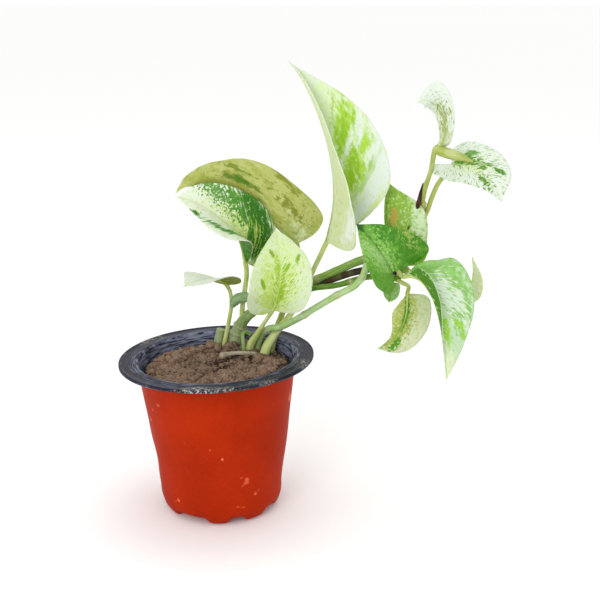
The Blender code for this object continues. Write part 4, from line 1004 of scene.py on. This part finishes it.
petioles = {
    "tall_leaf": dict(radii=(3.4, 3.1, 2.2, 1.9, 1.8, 1.6), look="limePetiole", groove=0.12,
                      points=((26, 20, -8), (29, 22, 4), (36, 25.5, 14), (45, 31, 24), (53, 37, 36), (59, 41, 50))),
    "hood_leaf": dict(radii=(2.9, 2.6, 2.1, 1.8, 1.6), look="oliveStem", groove=0.12,
                      points=((30, 25.5, -8), (32, 28, 4), (36, 34, 15), (42, 41, 30), (48, 46, 50))),
    "trough_leaf": dict(radii=(1.8, 1.6), look="limePetiole", groove=0.1,
                        points=((12, 38, 12), (12.5, 37, 18), (13, 36, 26), (14.5, 35, 36), (16, 36, 48))),
    "heart_leaf": dict(radii=(2.9, 2.6, 1.8, 1.3), look="limePetiole", groove=0.1,
                       points=((15.5, 29, -8), (18.5, 26, 4), (22.5, 22, 12), (28, 17, 22))),
    "edge_leaf": dict(radii=(1.4, 1.3), look="limePetiole", groove=0.1,
                      points=((-1, 34, -8), (1.5, 34.5, 4), (4, 34.5, 16), (6, 35, 28), (5.5, 35, 36))),
    "behind_leaf": dict(radii=(1.4, 1.3), look="greenVine", groove=0,
                        points=((105, 12, 60), (108, 14, 58), (111, 20, 51), (114, 26, 52))),
    "dark_leaf": dict(radii=(1.3, 1.2), look="greenVine", groove=0,
                      points=((102, 12, 62), (104, 8, 61), (105.5, 5, 59))),
    "young_leaf": dict(radii=(1.0, 0.9), look="greenVine", groove=0, points=((106.5, 12.5, 51), (107, 11, 50))),
    "hanging_leaf": dict(radii=(1.5, 1.4), look="limePetiole", groove=0,
                         points=((110, 10, 60), (110.5, 7, 57), (112.5, 1, 56))),
    "low_leaf": dict(radii=(1.4, 1.2), look="oliveStem", groove=0,
                     points=((110, 7.5, 52), (113, 4, 51), (116, 0, 50))),
    "sliver_leaf": dict(radii=(1.3, 1.1), look="limePetiole", groove=0,
                        points=((116, 8, 58), (121, 8, 56), (136, 12, 48), (149, 15, 39))),
    "top_leaf": dict(radii=(1.8, 1.5), look="oliveStem", groove=0.1,
                     points=((125, 30.5, 87), (125.5, 30, 93), (127, 27, 105), (130, 24, 117))),
    "right_leaf": dict(radii=(1.6, 1.4), look="oliveStem", groove=0.1,
                       points=((126.5, 30.5, 85), (129.5, 30, 91), (131.5, 28, 99), (135, 27, 108), (140, 27, 115))),
}

# the raised midrib: how far along the blade, and its radius as a share of the petiole's last
ribTaper = ((0.0, 1.05), (0.05, 0.72), (0.12, 0.5), (0.22, 0.38), (0.35, 0.3), (0.5, 0.24), (0.65, 0.18))

for name, spec in petioles.items():
    leaf = leaves[name]
    route = [plantPlace(*p) for p in spec["points"]]
    radii = [blend(spec["radii"], i / (len(route) - 1)) for i in range(len(route))]
    for s, share in ribTaper:
        place, forward, face, _ = bladeAxes(leaf, s)
        thick = spec["radii"][-1] * share
        route.append(place - face * (thick * 0.62 * mm + blade["ribDip"] * (1 - s * 0.7)))
        radii.append(thick)
    addStem(name + "_stalk", route, radii, spec["look"], [name + "_petiole"], (), spec["groove"])
print("petioles made")


# Small pieces: a dry sheath, a dark strip along the vines that fills the gap between them with painted shade, a rolled
# young leaf, a curled green sheath, and roots

smallPieces = {
    "dry_sheath": dict(radii=(1.6, 1.9, 1.6, 1.1, 0.4), look="dryHusk", slot="dry_husk", nodes=["dry_sheath"],
                       points=((121.5, 28, 84), (122.5, 27.5, 90), (123.5, 27, 96), (124.5, 27, 102), (126, 27, 109))),
    # painted shade: a dark strip lying in the gap between the main and lower vines
    "vine_husk": dict(radii=(0.5, 1.7, 2.1, 2.2, 2.0, 1.0), look="darkHusk", slot="dry_husk", nodes=[],
                      points=((56, 25, 41), (66, 23, 46), (76, 20, 51), (86, 17, 55), (97, 13, 57.5), (110, 9, 55.5))),
    "top_leaf_roll": dict(radii=(1.6, 3.0, 3.3, 2.8, 1.6, 0.5), look="oliveStem", slot="pale_leaf", nodes=[],
                          points=((131.5, 21, 132), (134, 19.5, 130), (139, 18, 128.5), (145, 16, 127),
                                  (150, 14, 125.5), (154, 12, 124))),
    "curled_shoot": dict(radii=(1.6, 3.0, 3.5, 3.4, 2.2), look="swirlSheath", slot="petiole_skin",
                         points=((7, 31, 28), (8, 30, 31), (11, 29, 34), (16, 29, 34.5), (19, 29, 32))),
    "aerial_root": dict(radii=(1.3, 1.2, 1.1, 1.0), look="greenRoot", slot="root_skin",
                        points=((18, 31, 9), (16, 30, 11), (13.5, 28, 11), (13.5, 26, 7), (14, 24, 3), (14, 23, 0))),
    "frayed_root": dict(radii=(1.3, 1.4, 1.2, 1.6, 2.4), look="dustyRoot", slot="root_skin",
                        points=((22, 19, 0), (17, 16, 1.6), (10, 14.5, 2.2), (4, 11, 2.4), (0, 8, 2.4))),
}

for name, spec in smallPieces.items():
    addStem(name + "_piece", [plantPlace(*p) for p in spec["points"]], spec["radii"], spec["look"],
            spec.get("nodes", [name]))
print("small pieces made")
